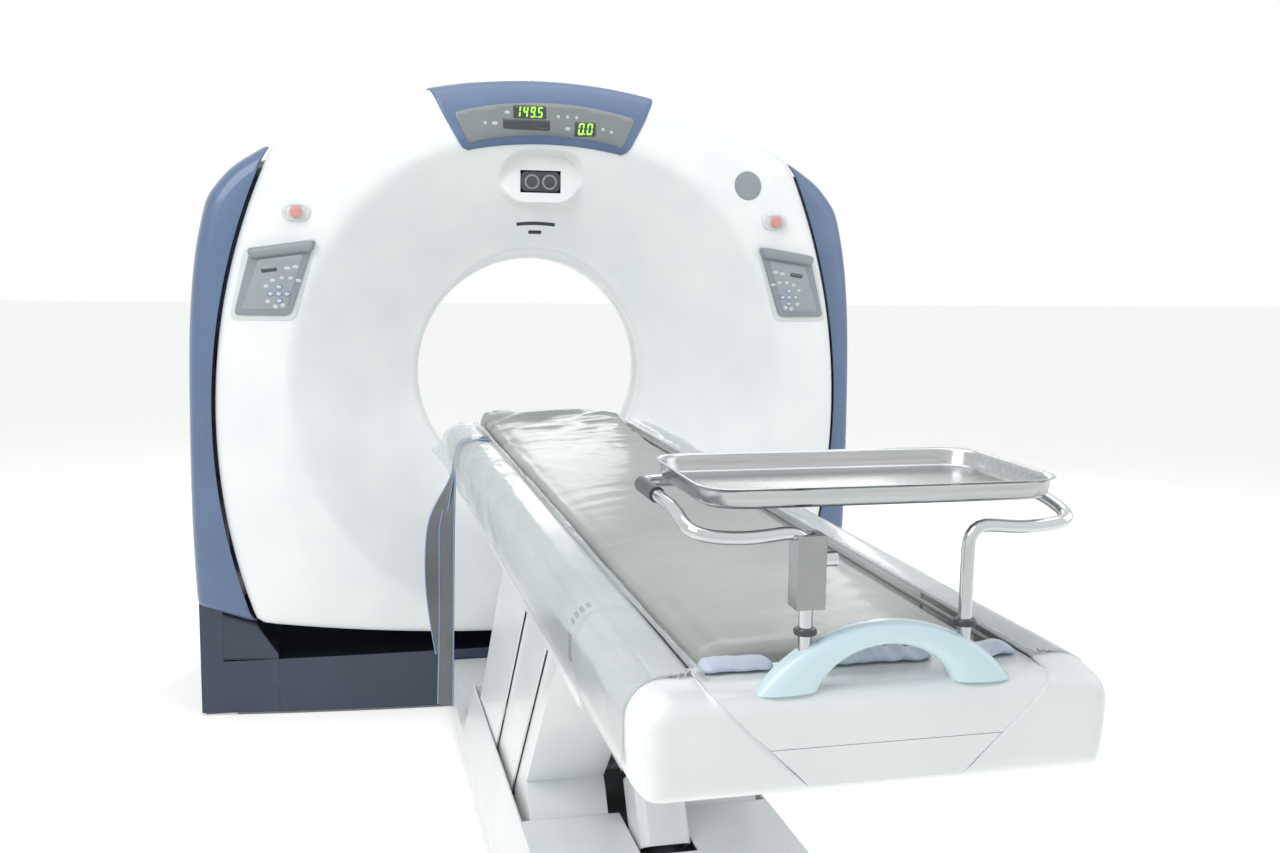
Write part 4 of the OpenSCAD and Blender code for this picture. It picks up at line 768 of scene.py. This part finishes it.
# Handle: one moulded arch with a rounded section
ARCH_R, ARCH_SWING, ARCH_DEPTH = 0.2085, radians(50.0), 0.0172
HOLE_HALF, HOLE_RISE, HOLE_SWING = 0.0840, 0.0495, radians(74.0)
rings = []
for t in np.linspace(0, 1, 61):
    w = 2 * t - 1
    a, b = w * ARCH_SWING, w * HOLE_SWING
    outer = np.array((ARCH_R * sin(a), FOOT_TOP - 0.1344 + ARCH_R * cos(a) - 0.004 * abs(w) ** 8))
    inner = np.array((HOLE_HALF * sin(b) / sin(HOLE_SWING), FOOT_TOP - 0.0030
                      + HOLE_RISE * (cos(b) - cos(HOLE_SWING)) / (1 - cos(HOLE_SWING))))
    middle, half = (outer + inner) / 2, (outer - inner) / 2
    ring = []
    for b in turns(28):
        c, s = (copysign(abs(v) ** 0.72, v) for v in (cos(b), sin(b)))
        ring.append((middle[0] + half[0] * c, POST_Y + ARCH_DEPTH * s, middle[1] + half[1] * c))
    rings.append(ring)
piece("handle_shell", *tube(rings), AQUA, "cradle", "handle_aqua", ("handle",), sharp=60)

# Tray rails: one bent tube from post to post round the tray
FRONT_Z, RAIL_X = TRAY_Z - 0.016, 0.238
COLLAR = ((0.0085, 0.9575), (0.0125, 0.9575), (0.0135, 0.9590), (0.0135, 0.9630), (0.0120, 0.9650),
          (0.0085, 0.9650))
rail = [(-POST_X, POST_Y, FOOT_TOP + 0.010), (-POST_X, POST_Y, FRONT_Z), (-0.180, POST_Y, FRONT_Z - 0.008),
        (-RAIL_X, POST_Y, FRONT_Z), (-RAIL_X, POST_Y + 0.070, TRAY_Z), (-RAIL_X, POST_Y + 0.245, TRAY_Z)]
rail += [(-x, y, z) for x, y, z in reversed(rail)]
piece("tray_rail", *sweep(round_path(rail, 0.030), ROD_R), CHROME, "cradle", "chrome_rod", ("tray_frame",),
      sharp=60)
for side, sign in SIDES:
    rings = [[(sign * POST_X + r * cos(a), POST_Y + r * sin(a), z) for a in turns(32)]
             for r, z in COLLAR]
    piece("post_collar_" + side, *tube(rings), DARK, "cradle", "panel_grey", sharp=40)
    path = [(sign * RAIL_X, POST_Y + d, TRAY_Z) for d in (0.150, 0.175, 0.200, 0.225)]
    piece("rail_sleeve_" + side, *sweep(path, 0.0102), DARK, "cradle", "panel_grey", sharp=60)

# Tray: pressed steel with a rolled rim
PRESSED = [(0.020, 0.0000), (0.010, 0.0015), (0.0065, 0.006), (0.0050, 0.020), (0.0030, 0.0235),
           (0.0008, 0.0245), (0.0000, 0.0252), (0.0010, 0.0259), (0.0034, 0.0258), (0.0066, 0.0240),
           (0.0085, 0.0200), (0.0095, 0.0070), (0.0130, 0.0026), (0.022, 0.0014)]
TRAY_HX, TRAY_HY = 0.225, 0.130
BASE_Z, MID_Y = TRAY_Z + ROD_R + 0.0004, POST_Y - ROD_R + TRAY_HY
rings = []
for shrink, z in PRESSED:
    hx, hy = TRAY_HX - shrink, TRAY_HY - shrink
    rings.append([(x, MID_Y + y, BASE_Z + z) for x, y in window(-hx, hx, -hy, hy, 0.050, 9)])
piece("tray_shell", *tube(rings), STAINLESS, "cradle", "stainless", ("tray",), sharp=50)

# Clamp's screw
path = [(-POST_X + d, POST_Y - 0.001, 1.045) for d in (0.0172, 0.026, 0.034)]
piece("clamp_screw", *sweep(path, 0.009), CHROME, "cradle", "chrome_rod", sharp=50)

# Mattress: cushion under air pressure, capped, then creased
PAD_HALF, PAD_HEAD, PAD_FOOT, PAD_LOW = 0.2065, -0.352, -2.590, 0.8655
PAD_TOP = np.array([(0.350, 0.911), (0.370, 0.929), (0.450, 0.936), (0.600, 0.914), (0.900, 0.905),
                    (2.591, 0.900)])
PAD_BOX = ((-0.2100, 0.2100), (-2.5925, -0.3505), (PAD_LOW, 0.9385))
SWELL, FRAMES = 0.006, 20


def pad_top(y):
    """Height of the pad's top at a place along the table."""
    return float(np.interp(-y, PAD_TOP[:, 0], PAD_TOP[:, 1]))


def pad_form(shrink):
    """Closed pad with rolled long edges, shrink inside its full size."""
    rings = []
    for y in np.linspace(PAD_HEAD - shrink, PAD_FOOT + shrink, 120):
        near = min(abs(y - PAD_HEAD), abs(y - PAD_FOOT))
        end = sqrt(min(1, (near + 0.002) / 0.022))
        half, top, low = PAD_HALF - shrink - 0.010 * (1 - end), pad_top(y) - shrink, PAD_LOW + shrink * 0.2
        top = low + (top - low) * (0.35 + 0.65 * end)
        loop = rounded([(-half, low), (half, low), (half - 0.004, top), (-half + 0.004, top)], 0.018, 5)
        rings.append([(x, y, z + (0.0025 * (1 - (x / half) ** 2) if z > low + 0.01 else 0))
                      for x, z in loop])
    return tube(rings)


points, faces = pad_form(0.004)
mesh = bpy.data.meshes.new("mattress_cushion")
mesh.from_pydata(points, [], faces)
pad = placed("mattress_cushion", mesh)
cut = pad.modifiers.new("remesh", "REMESH")
cut.mode, cut.voxel_size = "VOXEL", 0.0105
mesh = bpy.data.meshes.new_from_object(pad.evaluated_get(bpy.context.evaluated_depsgraph_get()))
pad.modifiers.clear()
pad.data = mesh
start = np.array([v.co for v in mesh.vertices])
cloth = pad.modifiers.new("cloth", "CLOTH")
cloth.settings.use_pressure = True
cloth.settings.uniform_pressure_force = 4
cloth.settings.effector_weights.gravity = 0
cloth.settings.quality = 5
cloth.point_cache.frame_start, cloth.point_cache.frame_end = 1, FRAMES
for f in range(1, FRAMES + 1):
    scene.frame_set(f)
moved = pad.evaluated_get(bpy.context.evaluated_depsgraph_get())
shift = np.array([v.co for v in moved.to_mesh().vertices]) - start
moved.to_mesh_clear()
pad.modifiers.clear()
size = np.linalg.norm(shift, axis=1)[:, None]
start = start + shift * np.minimum(1, SWELL / np.maximum(size, 1e-9))
scene.frame_set(1)
out = []
for x, y, z in start:
    top = (z - PAD_LOW) / (pad_top(y) - PAD_LOW)
    if top > 0.55:
        head, far = smooth_step((y + 1.05) / 0.6), smooth_step((y + 2.0) / 1.2)
        fold = crease(x * 0.8 + y, y - x * 0.5, (2.2, 9.0), 3.1) - 0.62
        z += (0.0120 * head + 0.0009) * fold * min(1, top)
        z += 0.0016 * far * (crease(x + y * 0.2, y, (14, 5.0), 8.7) - 0.6)
        z -= 0.0022 * smooth_step((abs(x) - 0.150) / 0.02) * smooth_step((0.186 - abs(x)) / 0.02)
    out.append([float(np.clip(v, *ends)) for v, ends in zip((x, y, z), PAD_BOX)])
for v, p in zip(pad.data.vertices, out):
    v.co = p
pad.data.materials.append(VINYL)
pad.data.shade_smooth()
pad.modifiers.new("smooth", "SUBSURF").levels = 1
pad.modifiers["smooth"].render_levels = 1
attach(pad, "cradle")
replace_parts(pad, "mattress")

# Piping along the pad's edges, and the pale lining that shows at its foot
for side, sign in SIDES:
    path = [(sign * (0.2125 + 0.0006 * sin(y * 9)), y, 0.8900 + 0.0015 * sin(y * 3.1))
            for y in np.linspace(PAD_HEAD - 0.012, PAD_FOOT + 0.006, 90)]
    piece("pad_piping_" + side, *sweep(path, 0.0040, 10), VINYL, "cradle", "vinyl", sharp=60)

LINING_Y, LINING_Z = -2.6170, 0.8955


def lining(name, x0, x1, puff, seed):
    """Soft strip of lining between two places across the cradle's foot."""
    rings = []
    for x in np.linspace(x0, x1, 46):
        near = min(x - x0, x1 - x) / 0.012
        full = sqrt(min(1, near + 0.12))
        wave = crease(x, 0, (26, 1), seed, 2)
        high = LINING_Z + (0.013 + puff * (wave - 0.35)) * full
        middle = (LINING_Z + high) / 2
        rings.append([(x, LINING_Y + 0.0240 * full * cos(a) * (1 - 0.2 * wave),
                       max(0.8952, middle + (high - LINING_Z) / 2 * sin(a))) for a in turns(20)])
    ob = piece(name, *tube(rings), LINING, "cradle", "vinyl", sharp=70, level=1)


lining("pad_lining_left", -0.205, -0.112, 0.005, 1.3)
lining("pad_lining_middle", -0.092, 0.094, 0.014, 5.2)
lining("pad_lining_right", 0.112, 0.207, 0.005, 9.4)

# Clear film laid over the side covers, with its rolled hem
SPREAD, FILM_Y, HEM_Y = 44, (-0.462, -2.645), (-0.455, -2.655)
base = side_path(0.0018, 0.792)
run = run_along(base)
section = places(np.linspace(0, run[-1], SPREAD), run, base)
normal = np.gradient(section, axis=0)
normal = np.stack([-normal[:, 1], normal[:, 0]], 1)
normal = unit(normal * np.sign(normal[:, :1] + normal[:, 1:] + 1e-9))
for side, sign in SIDES:
    seed = 2.0 if side == "left" else 12.0
    rows = []
    for y in np.linspace(*FILM_Y, 330):
        loose = 0.10 + 0.90 * smooth_step((y + 1.75) / 1.0)
        foot = smooth_step((-2.58 - y) / 0.06)
        flare = smooth_step((y + 0.60) / 0.13) if side == "left" else 0.4 * smooth_step((y + 0.56) / 0.1)
        row = []
        for i, ((x, z), (nx, nz)) in enumerate(zip(section, normal)):
            v = i / (SPREAD - 1)
            free = smooth_step(v / 0.12) * (1 - 0.6 * foot)
            fold = smooth_step((crease(y + v * 0.30, v, (4.5, 0.8), seed, 1) - 0.25) / 0.8)
            fold += 0.16 * smooth_step((crease(y - v * 0.20, v, (12.0, 1.2), seed + 3, 1) - 0.4) / 0.6)
            off = free * loose * 0.0090 * fold
            out_by = flare * max(0.0, v - 0.45) ** 1.3
            row.append((sign * (x + nx * off + 0.075 * out_by), y, z + nz * off + 0.085 * out_by))
        rows.append(row)
    film = piece("film_sheet_" + side, *grid(rows, flip=sign > 0), FILM, "table", "film", sharp=80,
                 wall=0.0004)
    rings = []
    for y in np.linspace(*HEM_Y, 200):
        w = 0.0058 * (0.85 + 0.25 * sin(y * 11) * sin(y * 4.3))
        h = 0.0032 * (0.9 + 0.35 * crease(y, 1, (17, 1), 4.4, 2))
        x = sign * (0.2145 + 0.0015 * sin(y * 5.1))
        rings.append([(x + w * cos(a), y, 0.9020 + h + h * max(sin(a), 0.8 * sin(a)))
                      for a in turns(14)])
    hem = piece("film_hem_" + side, *tube(rings), FILM, "table", "film", sharp=70)
    if side == "left":
        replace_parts(film, "film_skirts")

# Straps: two webbing loops with blue edges that hang down beside the table
STRAP = [(0.217, 0.9045), (0.262, 0.9048), (0.2945, 0.8945), (0.3056, 0.858), (0.3092, 0.820)]


def strap_strip(name, y_mid, width, out_by, low, twist, seed):
    """A strap along the side cover's section, then hanging free, with bound edges."""
    x0, z0 = STRAP[-1]
    free = [(x0 + out_by * sin(pi * t) + 0.0063 * t, z0 - (z0 - low) * t)
            for t in np.linspace(0.02, 1, 60)]
    rows = []
    for x, z in [*round_path(STRAP, 0.03, 6), *free]:
        d = min(max((z0 - z) / 0.6, 0), 1)
        turn = twist * smooth_step(d / 0.28) + 0.12 * d * sin(seed + 5 * d)
        row = []
        for u in np.linspace(-1, 1, 9):
            bow = 0.0030 * d * (1 - u * u)
            row.append((-(x + abs(width / 2 * sin(turn)) + bow + u * width / 2 * sin(turn)),
                        y_mid + u * width / 2 * cos(turn) + 0.016 * d * sin(seed * 2 + 3 * d), z))
        rows.append(row)
    strip = piece(name, *grid(rows), WEBBING, "table", "webbing", sharp=80, wall=0.0018)
    edges = []
    for u, tag in ((0, "rear"), (-1, "front")):
        edges.append(piece(name + "_binding_" + tag, *sweep([r[u] for r in rows], 0.0021, 8), WEB_EDGE,
                           "table", "webbing", sharp=70))
    for ob in (strip, *edges):
        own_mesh(ob)
    return strip


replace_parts(strap_strip("strap_outer", -0.745, 0.048, 0.026, 0.330, 1.15, 0.4), "strap")
strap_strip("strap_inner", -0.762, 0.044, 0.002, 0.195, 0.95, 1.9)

# Vent slots: two groups of four, beside the seam of the foot cap, drawn as flush dark plates of painted
# shade in place of openings
SLOT_Y, SLOT_W, SLOT_PITCH, SLOT_START = (-2.300, -2.322), 0.0062, 0.0105, 0.052
section = side_path(0.0, 0.80, 24)
run = run_along(section)
for side, sign in SIDES:
    points, faces = [], []
    for k in (0, 1, 2, 3, 5, 6, 7, 8):
        corners = []
        for d, lift_by in ((0, -0.0005), (SLOT_W, -0.0005), (SLOT_W, 0.0008), (0, 0.0008)):
            x, z = places(SLOT_START + SLOT_PITCH * k + d, run, section)
            a = min(max(atan2(z - (SIDE_TOP - SIDE_R), x - (SIDE_W - SIDE_R)), 0), pi / 2)
            corners.append((sign * (x + lift_by * cos(a)), z + lift_by * sin(a)))
        n = len(points)
        points += [(x, y, z) for y in SLOT_Y for x, z in corners]
        faces += [(n, n + 1, n + 2, n + 3), (n + 7, n + 6, n + 5, n + 4)]
        faces += [(n + i, n + 4 + i, n + 4 + (i + 1) % 4, n + (i + 1) % 4) for i in range(4)]
    piece("vent_slot_shades_" + side, points, faces, DARK, "table", "panel_grey", sharp=30)

# Plinth: dark blue skin under the tilting covers, up to the end blocks, and the panels on their fronts
TOP_R, PLINTH_R, PLINTH_Y, BACK_Y = 0.874, 6.700, 0.245, 0.372
END_X, SHOULDER_X, COVER_X, END_LOW, END_FOOT = 0.777, 0.842, 0.93, 0.170, 0.184
WINGS = np.array([0.780, 0.800, 0.820, SHOULDER_X, 0.870, 0.900, 0.940, 0.997])


def end_rise(x):
    """Height of an end block's sloping top above its foot at the front panel."""
    return (min(x, SHOULDER_X) - END_X) * 1.54 + max(x - SHOULDER_X, 0) * 0.346


rows = []
for t in np.linspace(0, 1, 40):
    row = []
    for x in np.concatenate([WINGS[::-1] * -1, np.linspace(-0.776, 0.776, 61), WINGS]):
        y0 = PLINTH_R - PLINTH_Y - sqrt((PLINTH_R - 0.009) ** 2 - x * x)
        y = y0 + (BACK_Y - y0) * t
        z = ISO - sqrt(TOP_R ** 2 - y * y)
        if abs(x) > 0.776:
            (cx, cz), r = ARCS[1]
            side = sqrt(max(0.0, r ** 2 - (min(abs(x), COVER_X) - cx) ** 2)) - cz
            reach = min(hypot(min(side, 0.725), 0.365) + 0.010, TOP_R)
            z = max(z, min(0.180 + end_rise(abs(x)), ISO - sqrt(reach ** 2 - y * y)))
        row.append((x, y, z))
    rows.append(row)
rows.append([(x, BACK_Y + 0.0015, 0.150) for x, _, _ in rows[-1]])
piece("plinth_top_skin", *grid(rows), WELL, "root", "base_blue", sharp=60, wall=0.003)
across = np.concatenate([np.linspace(END_X, SHOULDER_X, 8), np.linspace(SHOULDER_X, 0.996, 12)[1:]])
for side, sign in SIDES:
    rows = [[(sign * x, PLINTH_R - PLINTH_Y - sqrt(PLINTH_R ** 2 - x * x) + 0.0004,
              END_LOW + (END_FOOT + end_rise(x) - END_LOW) * t) for x in across]
            for t in np.linspace(0, 1, 8)]
    piece("plinth_end_panel_" + side, *grid(rows, flip=sign < 0), DARK_BLUE, "root", "base_blue", sharp=60,
          wall=0.004)

# Floor, light and backdrop
mesh = bpy.data.meshes.new("floor")
mesh.from_pydata([(-30, -30, 0), (30, -30, 0), (30, 30, 0), (-30, 30, 0)], [], [(0, 1, 2, 3)])
mesh.materials.append(finish_of("pale_floor", (232, 232, 229), (238, 238, 235), (0.6, 0.75), bump=0.05,
                                glow=0.50))
placed("floor", mesh)
world = bpy.data.worlds.new("studio")
scene.world = world
world.use_nodes = True
tree = world.node_tree


def either(a, b):
    """Larger of two values of the world's nodes."""
    n = tree.nodes.new("ShaderNodeMath")
    n.operation = "MAXIMUM"
    tree.links.new(a, n.inputs[0])
    tree.links.new(b, n.inputs[1])
    return n.outputs[0]


ambient, white = tree.nodes["Background"], tree.nodes.new("ShaderNodeBackground")
for sky, colour, strength in ((ambient, (0.93, 0.96, 1.0, 1), 0.52), (white, (1, 1, 1, 1), 1.0)):
    sky.inputs["Color"].default_value = colour
    sky.inputs["Strength"].default_value = strength
path = tree.nodes.new("ShaderNodeLightPath").outputs
mix = tree.nodes.new("ShaderNodeMixShader")
tree.links.new(either(either(path["Is Camera Ray"], path["Is Glossy Ray"]), path["Is Transmission Ray"]),
               mix.inputs[0])
tree.links.new(ambient.outputs[0], mix.inputs[1])
tree.links.new(white.outputs[0], mix.inputs[2])
tree.links.new(mix.outputs[0], tree.nodes["World Output"].inputs["Surface"])
for name, at, size, power in (("key", (-2.6, -3.4, 3.6), 2.2, 84), ("fill", (3.6, -2.6, 2.6), 3.0, 28),
                              ("top", (0.0, -1.2, 3.8), 3.2, 40), ("back", (1.5, 3.6, 2.8), 2.6, 50)):
    lamp = placed(name, bpy.data.lights.new(name, "AREA"))
    lamp.data.size, lamp.data.energy = size, power
    lamp.location = at
    lamp.rotation_euler = (Vector((0, -0.9, 0.9)) - Vector(at)).to_track_quat("-Z", "Y").to_euler()
scene.view_settings.view_transform = "Standard"
